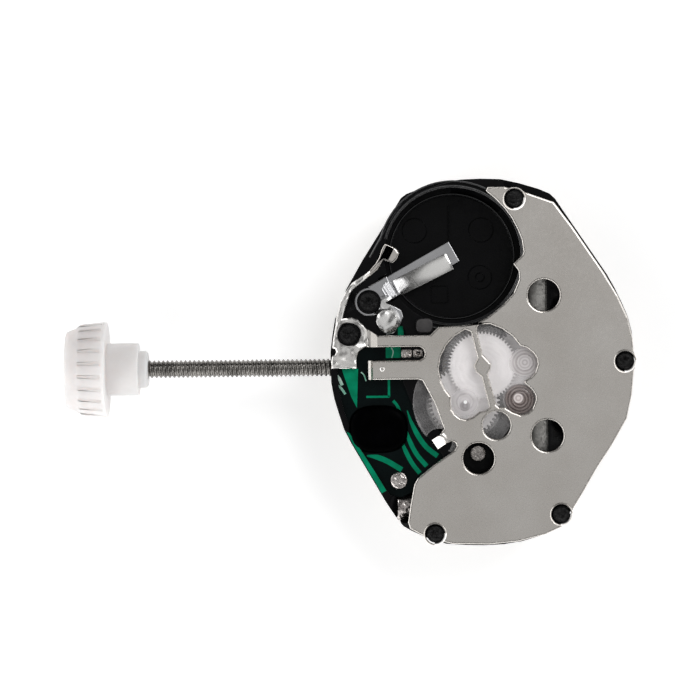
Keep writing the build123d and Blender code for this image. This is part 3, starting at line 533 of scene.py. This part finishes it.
node_materials = {
    "main_plate": black,
    "dial_side_plate": nickel_dial,
    "back_plate": nickel_plate,
    "train_bridge": bridge_clear,
    "negative_contact": spring,
    "circuit_board": board_mask,
    "ic_potting": drop_black,
    "contact_pin": steel_mottled,
    "guide_pin": steel_dull,
    "quartz_crystal": steel_mottled,
    "stator": iron,
    "coil_core": iron,
    "coil_bobbin": grey,
    "coil_winding": wire,
    "rotor_magnet": magnet,
    "rotor_pinion": grey,
    "fifth_wheel": wheel_white_shaded,
    "seconds_wheel": wheel_white,
    "third_wheel": wheel_white,
    "centre_wheel": grey_dark,
    "cannon_pinion": brass,
    "hour_wheel": brass,
    "minute_wheel": brass,
    "setting_wheel": brass_shaded,
    "clutch_wheel": steel,
    "clutch_lever": steel,
    "setting_lever": steel,
    "stem": steel,
    "crown": crown_white,
}
node_bodies = {
    node: body for body, nodes in frame["record"]["behaviour"]["bodies"].items() for node in nodes
}


def paint(piece, material):
    """Gives a piece one material on all its faces."""
    piece.data.materials.clear()
    piece.data.materials.append(material)


for node, piece in frame["nodes"].items():
    paint(piece, node_materials[node])


# Meshes: angles in degrees that count as flat, as a soft edge and as a sharp one
flat_angle = 0.5
soft_angle = 35
sharp_angle = 30

# Corners that are nearer than this are one point
same_point = 0.0005

# Rolled edges: facets, and the Z of the direction of a face that points up or aside
roll_facets = 3
face_up = 0.95
face_aside = 0.3

# Ridges: flank and flat top as shares of half the width, and the lowest wall
flank_share = 0.8
flat_share = 0.2
least_wall = 0.002

# Pace of the unevenness on a dome
wobble_pace = 5


def finished(name, bm, material, body, smooth=False):
    """Turns a mesh drawn in millimetres into a piece that rides on a body."""
    bmesh.ops.recalc_face_normals(bm, faces=bm.faces)
    bmesh.ops.scale(bm, vec=(mm, mm, mm), verts=bm.verts)
    data = bpy.data.meshes.new(name)
    bm.to_mesh(data)
    bm.free()
    piece = bpy.data.objects.new(name, data)
    bpy.context.scene.collection.objects.link(piece)
    paint(piece, material)
    if smooth:
        for face in data.polygons:
            face.use_smooth = True
    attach(piece, body)
    return piece


def soften(piece, width, segments=2):
    """Rounds a piece's edges by a width in millimetres. One segment leaves a flat bright chamfer."""
    bevel = piece.modifiers.new("edges", "BEVEL")
    bevel.width = width * mm
    bevel.segments = segments
    bevel.limit_method = "ANGLE"
    bevel.angle_limit = radians(soft_angle)
    bevel.use_clamp_overlap = False
    if segments == 1:
        return
    weighted = piece.modifiers.new("flats", "WEIGHTED_NORMAL")
    weighted.weight = 100
    for face in piece.data.polygons:
        face.use_smooth = True


def read_mesh(node):
    """A node's mesh in millimetres, its triangles joined at their corners."""
    bm = bmesh.new()
    bm.from_mesh(frame["nodes"][node].data)
    bmesh.ops.scale(bm, vec=(1 / mm, 1 / mm, 1 / mm), verts=bm.verts)
    bmesh.ops.remove_doubles(bm, verts=bm.verts, dist=same_point)
    return bm


def join_flats(bm):
    """Joins triangles that lie in one plane."""
    bmesh.ops.dissolve_limit(bm, angle_limit=radians(flat_angle), verts=bm.verts, edges=bm.edges)
    return bm


def node_copy(node, ending, bm):
    """A piece with a node's material and body."""
    return finished(node + ending, bm, node_materials[node], node_bodies[node])


def rolled_copy(node, width):
    """A copy of a sheet whose upper edges are rolled over in flat facets, in place of that sheet."""
    bm = join_flats(read_mesh(node))
    upper = []
    for border in bm.edges:
        if len(border.link_faces) != 2 or not border.is_convex:
            continue
        tilts = sorted(face.normal.z for face in border.link_faces)
        if tilts[1] > face_up and abs(tilts[0]) < face_aside:
            upper.append(border)
    bmesh.ops.bevel(
        bm,
        geom=upper,
        offset=width,
        segments=roll_facets,
        profile=0.5,
        affect="EDGES",
        clamp_overlap=False,
    )
    piece = node_copy(node, "_soft", bm)
    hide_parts(node)


def smooth_copy(node):
    """A copy of a CAD node with its round walls shaded smooth, in place of that node."""
    piece = node_copy(node, "_smooth", join_flats(read_mesh(node)))
    piece.data.shade_smooth()
    piece.data.set_sharp_from_angle(angle=radians(sharp_angle))
    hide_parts(node)


def soft_copy(node, width, segments=2):
    """A copy of a CAD node with its edges rounded, in place of that node."""
    piece = node_copy(node, "_soft", join_flats(read_mesh(node)))
    soften(piece, width, segments)
    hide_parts(node)
    return piece


def prism(bm, points, bottom, top):
    """Adds an upright prism over an outline."""
    low = [bm.verts.new((x, y, bottom)) for x, y in points]
    high = [bm.verts.new((x, y, top)) for x, y in points]
    bm.faces.new(low)
    bm.faces.new(high)
    for index in range(len(points)):
        after = (index + 1) % len(points)
        bm.faces.new((low[index], low[after], high[after], high[index]))


def bar(bm, low_x, high_x, low_y, high_y, bottom, top):
    """Adds an upright block."""
    prism(bm, [(low_x, low_y), (high_x, low_y), (high_x, high_y), (low_x, high_y)], bottom, top)


def skin(bm, rows, capped=True):
    """Joins rings of corners, one after another, with faces; capped closes both ends."""
    for first, second in zip(rows, rows[1:]):
        for index in range(len(first)):
            after = (index + 1) % len(first)
            bm.faces.new((first[index], first[after], second[after], second[index]))
    if capped:
        bm.faces.new(rows[0])
        bm.faces.new(rows[-1])


def ridge(bm, at, radius, width, bottom, top, start=0.0, sweep=360.0, steps=48):
    """Adds a low ridge with sloping flanks that follows a circle, or an arc of it."""
    half = width / 2
    crest = max(top - half * flank_share, bottom + least_wall)
    flat = half * flat_share
    profile = [(radius - half, bottom), (radius - half, crest), (radius - flat, top)]
    profile += [(radius + flat, top), (radius + half, crest), (radius + half, bottom)]
    whole = sweep >= 360
    rows = []
    for step in range(steps if whole else steps + 1):
        turn = radians(start + sweep * step / steps)
        rows.append([bm.verts.new((at[0] + r * cos(turn), at[1] + r * sin(turn), z)) for r, z in profile])
    if whole:
        rows.append(rows[0])
    skin(bm, rows, capped=not whole)


def sideways(line, index, width):
    """Half a width across a line of points, at one of them."""
    run = line[min(index + 1, len(line) - 1)] - line[max(index - 1, 0)]
    return Vector((-run.y, run.x, 0)).normalized() * width / 2


def bead(bm, pixels, width, bottom, top):
    """Adds a ridge with sloping flanks along pixels of the photograph; the width is in millimetres."""
    line = [Vector((*at_pixel(x, y), 0)) for x, y in pixels]
    foot = top - width / 2
    rows = []
    for index, point in enumerate(line):
        across = sideways(line, index, width)
        left, right = point + across, point - across
        shape = ((left, bottom), (left, foot), (point, top), (right, foot), (right, bottom))
        rows.append([bm.verts.new((corner.x, corner.y, z)) for corner, z in shape])
    skin(bm, rows)


def dome(bm, at, radii, bottom, top, fullness, rings, steps, wobble=0.0, square=2.0):
    """Adds a domed drop on an oval foot; square above 2 makes the foot fuller at its corners."""
    peak = bm.verts.new((at[0], at[1], top))
    loops = []
    for ring in range(1, rings + 1):
        share = ring / rings
        height = (1 - share ** (2 / fullness)) ** fullness
        loop = []
        for step in range(steps):
            turn = tau * step / steps
            swell = (abs(cos(turn)) ** square + abs(sin(turn)) ** square) ** (-1 / square)
            x = at[0] + radii[0] * share * cos(turn) * swell
            y = at[1] + radii[1] * share * sin(turn) * swell
            lift = wobble * noise.noise(Vector((x * wobble_pace, y * wobble_pace, 0)))
            loop.append(bm.verts.new((x, y, bottom + (top - bottom) * height + lift * (1 - share))))
        loops.append(loop)
    for step in range(steps):
        bm.faces.new((peak, loops[0][step], loops[0][(step + 1) % steps]))
    for inner, outer in zip(loops, loops[1:]):
        for step in range(steps):
            after = (step + 1) % steps
            bm.faces.new((inner[step], outer[step], outer[after], inner[after]))
    bm.faces.new(loops[-1])


# Plates, bridge, wheels, pins and crown: the CAD pieces with their edges rounded, and the main
# plate shaded smooth
smooth_copy("main_plate")
rolled_copy("back_plate", width=0.09)
soft_copy("dial_side_plate", width=0.03)
soft_copy("train_bridge", width=0.04).visible_shadow = False
rolled_copy("negative_contact", width=0.045)
soft_copy("crown", width=0.04)
for wheel in ("seconds_wheel", "fifth_wheel", "third_wheel"):
    soft_copy(wheel, width=0.012, segments=1)
soft_copy("guide_pin", width=0.05)
soft_copy("contact_pin", width=0.06, segments=3)
soft_copy("quartz_crystal", width=0.05)

# Black drop over the chip
drop = bmesh.new()
drop_place = ((drop_low.x + drop_high.x) / 2, (drop_low.y + drop_high.y) / 2)
drop_radii = ((drop_high.x - drop_low.x) / 2, (drop_high.y - drop_low.y) / 2)
drop_shape = {"fullness": 0.45, "rings": 14, "steps": 72, "square": 2.7}
dome(drop, drop_place, drop_radii, drop_low.z, drop_high.z, **drop_shape)
piece = finished("potting_drop", drop, drop_black, "movement", smooth=True)
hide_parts("ic_potting")

# Threaded stem: the thread is a helix on the bar outside the body
thread_radius = 0.45
thread_depth = 0.085
thread_pitch = 0.225
thread_end = -7.30
thread_lap = 0.01
thread_slices = 8
turn_steps = 28

# Points of one pitch: share of the way along it, and share of the depth
thread_profile = ((0.0, 0.0), (0.16, 0.0), (0.38, 1.0), (0.62, 1.0), (0.84, 0.0), (1.0, 0.0))


def thread_height(share):
    """Height of the thread, as a share of its depth, along one pitch."""
    share %= 1.0
    for (start, low), (end, high) in zip(thread_profile, thread_profile[1:]):
        if start <= share <= end:
            return low + (high - low) * (share - start) / (end - start)
    return 0.0


def threaded_stem():
    """The stem, with a helical thread in place of its plain bar."""
    bm = read_mesh("stem")
    cut = thread_end - thread_lap
    bmesh.ops.delete(bm, geom=[v for v in bm.verts if v.co.x < cut], context="VERTS")
    join_flats(bm)
    step_length = thread_pitch / thread_slices
    rows = []
    for index in range(int((thread_end - stem_start) / step_length) + 1):
        x = stem_start + index * step_length
        row = []
        for step in range(turn_steps):
            share = x / thread_pitch - step / turn_steps
            radius = thread_radius - thread_depth * (1 - thread_height(share))
            turn = tau * step / turn_steps
            row.append(bm.verts.new((x, radius * cos(turn), stem_z + radius * sin(turn))))
        rows.append(row)
    skin(bm, rows)
    made = finished("stem_threaded", bm, steel, "stem_body")
    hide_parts("stem")


threaded_stem()

# Battery well: four rings, a rib and a square of lines moulded in its floor. A ring mark is
# its pixel and its radius.
floor_bottom = well_floor - mark_sink
ring_marks = (((417, 228), 0.62), ((484.5, 228), 0.62), ((483, 276), 0.60))
inner_ring_pixel = (483, 276)
rib_pixels = ((452, 203), (452, 238))
square_pixel = (442, 293)
line_half = 0.03
ring_line = 0.05
inner_ring_radius = 0.22
inner_ring_line = 0.06
square_half = 0.42
square_line_half = 0.4
ring_top = well_floor + 0.03
rib_top = well_floor + 0.16
square_top = well_floor + 0.04

well = bmesh.new()
for ring_pixel, radius in ring_marks:
    ridge(well, at_pixel(*ring_pixel), radius, ring_line, floor_bottom, ring_top)
inner_place = at_pixel(*inner_ring_pixel)
ridge(well, inner_place, inner_ring_radius, inner_ring_line, floor_bottom, square_top, steps=24)
rib_x, rib_high = at_pixel(*rib_pixels[0])
rib_low = at_pixel(*rib_pixels[1])[1]
bar(well, rib_x - line_half, rib_x + line_half, rib_low, rib_high, floor_bottom, rib_top)
square_x, square_y = at_pixel(*square_pixel)
low_x, high_x = square_x - square_line_half, square_x + square_line_half
low_y, high_y = square_y - square_line_half, square_y + square_line_half
for offset in (-square_half, square_half):
    line_x, line_y = square_x + offset, square_y + offset
    bar(well, line_x - line_half, line_x + line_half, low_y, high_y, floor_bottom, square_top)
    bar(well, low_x, high_x, line_y - line_half, line_y + line_half, floor_bottom, square_top)
finished("well_floor_marks", well, black, "movement")

# Rings at the well's ledge and mouth, and a double rim outside it, open at the contact
rim_top = 2.60
rim_bottom = body_top - mark_sink
rim_width = 0.10
rim_gaps = (0.06, 0.26)
mouth_arc = {"start": 246.0, "sweep": 280.0, "steps": 96}

# Radius, width, bottom and top of a ring
ledge_ring = (ledge_radius + 0.08, 0.12, ledge_top - mark_sink, ledge_top + 0.08)
mouth_ring = (well_radius - 0.01, 0.08, body_top - 0.30, body_top + 0.03)

# Rings and rim are in the lighter black, a painted sheen
rings = bmesh.new()
ridge(rings, well_place, *ledge_ring, steps=96)
ridge(rings, well_place, *mouth_ring, **mouth_arc)
finished("well_ledge_ring", rings, black_edge_sheen, "movement")

rim = bmesh.new()
for rim_gap in rim_gaps:
    ridge(rim, well_place, well_radius + rim_gap, rim_width, rim_bottom, rim_top, **mouth_arc)
finished("well_rim", rim, black_edge_sheen, "movement")

# Moulded edge of the body: beside the battery strip, and above the well
strip_side_pixels = ((410, 196), (404, 200), (399, 208), (389, 224), (380, 240), (371, 256))
above_well_pixels = ((456, 180), (444, 183), (430, 188), (417, 194))
strip_side_width = 0.10
above_well_width = 0.08

# The bead is in the lighter black, a painted sheen
edge = bmesh.new()
bead(edge, strip_side_pixels, strip_side_width, rim_bottom, rim_top)
bead(edge, above_well_pixels, above_well_width, rim_bottom, rim_top)
finished("body_edge_bead", edge, black_edge_sheen, "movement")

# Moulded boss beside the upper arm
boss_pixel = (425, 325)
boss_radii = (0.44, 0.38)
boss_bottom = body_top - 0.03
boss_top = body_top + 0.245
boss_shape = {"fullness": 0.12, "rings": 10, "steps": 40, "square": 3.4}

boss = bmesh.new()
dome(boss, at_pixel(*boss_pixel), boss_radii, boss_bottom, boss_top, **boss_shape)
finished("arm_boss", boss, boss_grey, "movement", smooth=True)

# Spring tongue over the contact leaf: a bowed strip inside the grey leaf, in lighter spring metal,
# a painted highlight
root_pixel = (397.8, 286.6)
tip_pixel = (452, 260)
tongue_root = at_pixel(*root_pixel)
tongue_tip = at_pixel(*tip_pixel)
tongue_half = 0.44
tongue_thick = 0.07
tongue_edge = 0.015
tongue_gap = 0.02
tongue_bow = 0.42
bow_share = 0.62
tongue_steps = 24


def contact_tongue():
    """The tongue, highest past its middle and open at its tip."""
    bm = bmesh.new()
    run = Vector((tongue_tip[0] - tongue_root[0], tongue_tip[1] - tongue_root[1], 0))
    side = Vector((-run.y, run.x, 0)).normalized()
    rows = []
    for step in range(tongue_steps + 1):
        share = step / tongue_steps
        spine = Vector((*tongue_root, 0)) + run * share
        top = leaf_top + tongue_gap + tongue_bow * sin(pi * min(share * bow_share, 1.0))
        row = []
        for offset, depth in ((-tongue_half, 0), (tongue_half, 0), (tongue_half, 1), (-tongue_half, 1)):
            point = spine + side * offset
            row.append(bm.verts.new((point.x, point.y, top - depth * tongue_thick)))
        rows.append(row)
    skin(bm, rows)
    made = finished("contact_tongue", bm, spring_highlight, "movement")
    soften(made, tongue_edge)


contact_tongue()

# Circuit board: its green fields, and the band of it that shows at the body's edge
track_bottom = board_top - trim_sink
track_top = board_top + 0.018
tin_top = track_top + 0.012
band_top = body_top + 0.018
field_pixels = (
    ((341.5, 367.6), (358.2, 367.6), (357.6, 380), (356.6, 407), (351, 396)),
    ((386, 345.5), (401, 345.5), (401, 357), (386, 357)),
    ((398.5, 325), (403.5, 325), (404.5, 335), (398.5, 335)),
)
band_pixels = (
    (345.8, 431), (352.1, 443), (368.7, 472), (380.5, 492.8), (385.2, 490.1), (373.6, 470.5),
    (363.2, 454.2), (355.2, 442), (348.4, 431.6),
)

# Tracks and tinned places: width in pixels, share of it at the start, and middle line in pixels
track_lines = (
    (5.4, 0.3, ((366, 455), (376, 456.5), (387, 461), (401, 469.5))),
    (5.0, 0.2, ((407, 410), (411, 422), (418, 436), (426, 447), (437, 456))),
    (4.6, 0.3, ((404, 424), (409, 440), (416, 454), (426, 466))),
    (4.4, 0.5, ((401, 441), (406, 453), (412, 464), (419, 473))),
    (2.2, 1.0, ((366, 395.9), (378, 395.9), (389.5, 395.9))),
    (2.4, 1.0, ((388.9, 379), (388.9, 388), (388.9, 396))),
    (3.0, 1.0, ((393, 400), (397, 405), (400, 412))),
)
tin_lines = (
    (3.2, 1.0, ((333, 373), (338, 376), (342, 384))),
    (2.4, 1.0, ((334, 383), (340, 386), (345, 393))),
    (1.0, 1.0, ((391.5, 346), (393.5, 351), (392, 357))),
    (1.2, 1.0, ((361, 371), (364, 374), (366, 380))),
)
line_steps = 4


def strip(bm, width, start_share, pixels, top):
    """Adds a strip on the board along a smooth line; it may start narrower than it goes on."""
    points = [Vector((x, y, 0)) for x, y in pixels]
    ends = [points[0] * 2 - points[1], *points, points[-1] * 2 - points[-2]]
    line = []
    for before, start, after, beyond in zip(ends, ends[1:], ends[2:], ends[3:]):
        for step in range(line_steps):
            share = step / line_steps
            bend = (before * -1 + start * 3 - after * 3 + beyond) * share**3
            bend += (before * 2 - start * 5 + after * 4 - beyond) * share**2
            line.append(start + ((after - before) * share + bend) / 2)
    line.append(points[-1])
    left, right = [], []
    for index, point in enumerate(line):
        swell = min(start_share + index / (len(line) / 2), 1.0)
        across = sideways(line, index, width * swell)
        left.append(at_pixel(point.x + across.x, point.y + across.y))
        right.append(at_pixel(point.x - across.x, point.y - across.y))
    low = [[bm.verts.new((x, y, track_bottom)) for x, y in row] for row in (left, right)]
    high = [[bm.verts.new((x, y, top)) for x, y in row] for row in (left, right)]
    for index in range(len(line) - 1):
        after = index + 1
        bm.faces.new((high[0][index], high[0][after], high[1][after], high[1][index]))
        bm.faces.new((low[0][index], low[1][index], low[1][after], low[0][after]))
        bm.faces.new((low[0][index], low[0][after], high[0][after], high[0][index]))
        bm.faces.new((low[1][after], low[1][index], high[1][index], high[1][after]))
    for index in (0, -1):
        bm.faces.new((low[0][index], high[0][index], high[1][index], low[1][index]))


green = bmesh.new()
for pixels in field_pixels:
    prism(green, [at_pixel(x, y) for x, y in pixels], track_bottom, track_top)
prism(green, [at_pixel(x, y) for x, y in band_pixels], body_top - mark_sink, band_top)
for track_line in track_lines:
    strip(green, *track_line, track_top)
finished("board_tracks", green, track, "movement")

tin = bmesh.new()
for tin_line in tin_lines:
    strip(tin, *tin_line, tin_top)
finished("board_tin", tin, track_pale, "movement")

# Soldered ends of the crystal's leads, seen in the slot between the arms: pixel and radii
solder_marks = (((407, 352.6), (0.30, 0.24)), ((418.3, 352.6), (0.27, 0.23)))
solder_bottom = body_top - 0.30
solder_top = body_top + 0.04
solder_shape = {"fullness": 0.2, "rings": 8, "steps": 40, "wobble": 0.16, "square": 6.0}

solder = bmesh.new()
for solder_pixel, radii in solder_marks:
    dome(solder, at_pixel(*solder_pixel), radii, solder_bottom, solder_top, **solder_shape)
finished("solder_joints", solder, steel_dull, "movement", smooth=True)

# Stud heads, each in a low rim with a bright crescent of lighter nickel, a painted highlight. The
# two lower studs have heads alone, and their rows end with the radius.
head_radii = (0.415, 0.415)
head_bottom = stud_top - 0.03
head_top = stud_top + 0.05
low_head_bottom = 2.93
low_head_top = 3.01
low_stud_shares = ((-0.877, 0.181, 0.48), (-0.744, 0.359, 0.50))
trim_bottom = plate_top - trim_sink
glint_arc = {"start": -95, "sweep": 100, "steps": 16}
head_shape = {"fullness": 0.4, "rings": 10, "steps": 36, "wobble": 0.05}
low_head_shape = {"fullness": 0.4, "rings": 12, "steps": 40, "wobble": 0.08}

# Radius, width, bottom and top of a ring
stud_rim = (0.53, 0.09, trim_bottom, plate_top + 0.035)
stud_glint = (0.49, 0.17, trim_bottom, plate_top + 0.08)

heads = bmesh.new()
rims = bmesh.new()
glints = bmesh.new()
for x_share, y_share in stud_shares:
    place = (x_share * half_width, y_share * half_height)
    dome(heads, place, head_radii, head_bottom, head_top, **head_shape)
    ridge(rims, place, *stud_rim, steps=40)
    ridge(glints, place, *stud_glint, **glint_arc)
for x_share, y_share, radius in low_stud_shares:
    place = (x_share * half_width, y_share * half_height)
    dome(heads, place, (radius, radius), low_head_bottom, low_head_top, **low_head_shape)
finished("stud_heads", heads, black_rough, "movement", smooth=True)
finished("stud_rims", rims, nickel_plate, "movement")
finished("stud_glints", glints, nickel_highlight, "movement")

# Small dent in the lower arm, drawn as a ring of lighter nickel: a painted highlight
dent_pixel = (382.3, 368.0)
dent_ring = (0.09, 0.05, trim_bottom, plate_top + 0.02)

dent = bmesh.new()
ridge(dent, at_pixel(*dent_pixel), *dent_ring, steps=20)
finished("arm_dent", dent, nickel_highlight, "movement")

# Camera: straight above the middle of the photograph
bpy.context.scene.view_settings.view_transform = "Standard"

view_x, view_y = at_pixel(picture_side / 2, picture_side / 2)
roll = radians(camera_roll)
centre_x = view_x * cos(roll) + view_y * sin(roll)
centre_y = view_y * cos(roll) - view_x * sin(roll)
distance = picture_side * pixel_size * lens / sensor

camera_data = bpy.data.cameras.new("camera")
camera_data.lens = lens
camera_data.sensor_width = sensor
camera_data.clip_start = clip_near
camera_data.clip_end = clip_far
camera = bpy.data.objects.new("camera", camera_data)
camera.location = (centre_x * mm, centre_y * mm, (plate_top + distance) * mm)
camera.rotation_euler = (0, 0, -roll)
bpy.context.scene.collection.objects.link(camera)
bpy.context.scene.camera = camera

# Floor: white, and it keeps the soft shadow
floor_reach = 400
floor_gap = 0.01
floor_glow = 0.30
floor_rough = 0.9

shader = Shader("floor_white")
shader.feed("Base Color", shader.patches(tint(250, 250, 250), tint(252, 252, 252), scale=0.05))
shader.set("Roughness", floor_rough)
shader.set("Specular IOR Level", 0.0)
rays = shader.node("ShaderNodeLightPath")
seen = shader.most(rays.outputs["Is Camera Ray"], rays.outputs["Is Glossy Ray"])
seen = shader.most(seen, rays.outputs["Is Transmission Ray"])
shader.feed("Emission Strength", shader.times(seen, floor_glow))
shader.set("Emission Color", (1, 1, 1, 1))

floor = bmesh.new()
floor_z = cad_box[0].z / mm - floor_gap
floor_corners = (
    (-floor_reach, -floor_reach),
    (floor_reach, -floor_reach),
    (floor_reach, floor_reach),
    (-floor_reach, floor_reach),
)
floor.faces.new([floor.verts.new((x, y, floor_z)) for x, y in floor_corners])
bmesh.ops.scale(floor, vec=(mm, mm, mm), verts=floor.verts)
floor_mesh = bpy.data.meshes.new("floor")
floor.to_mesh(floor_mesh)
floor.free()
floor_piece = bpy.data.objects.new("floor", floor_mesh)
bpy.context.scene.collection.objects.link(floor_piece)
paint(floor_piece, shader.material)

# World: a pale studio tent, with a bright band low round it. The camera looks in from straight
# above, through a dark ring. Bands are the height on the tent, from 0 to 1, and the brightness.
bands = (
    (0.0, 4.5),
    (0.07, 3.4),
    (0.14, 1.5),
    (0.50, 1.3),
    (0.74, 1.1),
    (0.79, 0.10),
    (0.91, 0.10),
    (0.95, 0.74),
    (1.0, 0.72),
)
brightest = 4.5

# The tent is dark on one side: from one share of the way towards +Y to another it falls off
dark_start = 0.50
dark_end = 0.78
dark_level = 0.05


def studio():
    """The world: the brightness of a band, times the fall towards the dark side."""
    world = bpy.data.worlds.new("studio")
    bpy.context.scene.world = world
    world.use_nodes = True
    nodes = world.node_tree.nodes
    links = world.node_tree.links
    nodes.clear()
    direction = nodes.new("ShaderNodeTexCoord")
    split = nodes.new("ShaderNodeSeparateXYZ")
    level = nodes.new("ShaderNodeValToRGB")
    side_level = nodes.new("ShaderNodeMapRange")
    strength = nodes.new("ShaderNodeMath")
    scaled = nodes.new("ShaderNodeMath")
    background = nodes.new("ShaderNodeBackground")
    output = nodes.new("ShaderNodeOutputWorld")
    strength.operation = "MULTIPLY"
    scaled.operation = "MULTIPLY"
    elements = level.color_ramp.elements
    for position, value in bands[1:-1]:
        elements.new(position)
    for element, (position, value) in zip(elements, bands):
        element.position = position
        element.color = (value / brightest, value / brightest, value / brightest, 1)
    side_level.inputs["From Min"].default_value = dark_start
    side_level.inputs["From Max"].default_value = dark_end
    side_level.inputs["To Min"].default_value = 1.0
    side_level.inputs["To Max"].default_value = dark_level
    scaled.inputs[1].default_value = brightest
    links.new(direction.outputs["Generated"], split.inputs[0])
    links.new(split.outputs["Z"], level.inputs["Fac"])
    links.new(split.outputs["Y"], side_level.inputs["Value"])
    links.new(level.outputs["Color"], strength.inputs[0])
    links.new(side_level.outputs[0], strength.inputs[1])
    links.new(strength.outputs[0], scaled.inputs[0])
    links.new(scaled.outputs[0], background.inputs["Strength"])
    links.new(background.outputs[0], output.inputs["Surface"])


studio()


# Lamps: the place that they point at
lamp_target = (-3, 0, 1)


def lamp(name, place, size, power):
    """A square soft lamp that points at a place on the object."""
    data = bpy.data.lights.new(name, "AREA")
    data.size = size * mm
    data.energy = power
    made = bpy.data.objects.new(name, data)
    made.location = Vector(place) * mm
    aim = Vector(lamp_target) - Vector(place)
    made.rotation_euler = aim.to_track_quat("-Z", "Y").to_euler()
    bpy.context.scene.collection.objects.link(made)


lamp("key", (60, 70, 110), size=70, power=0.07)
lamp("fill", (-90, -60, 80), size=80, power=0.04)
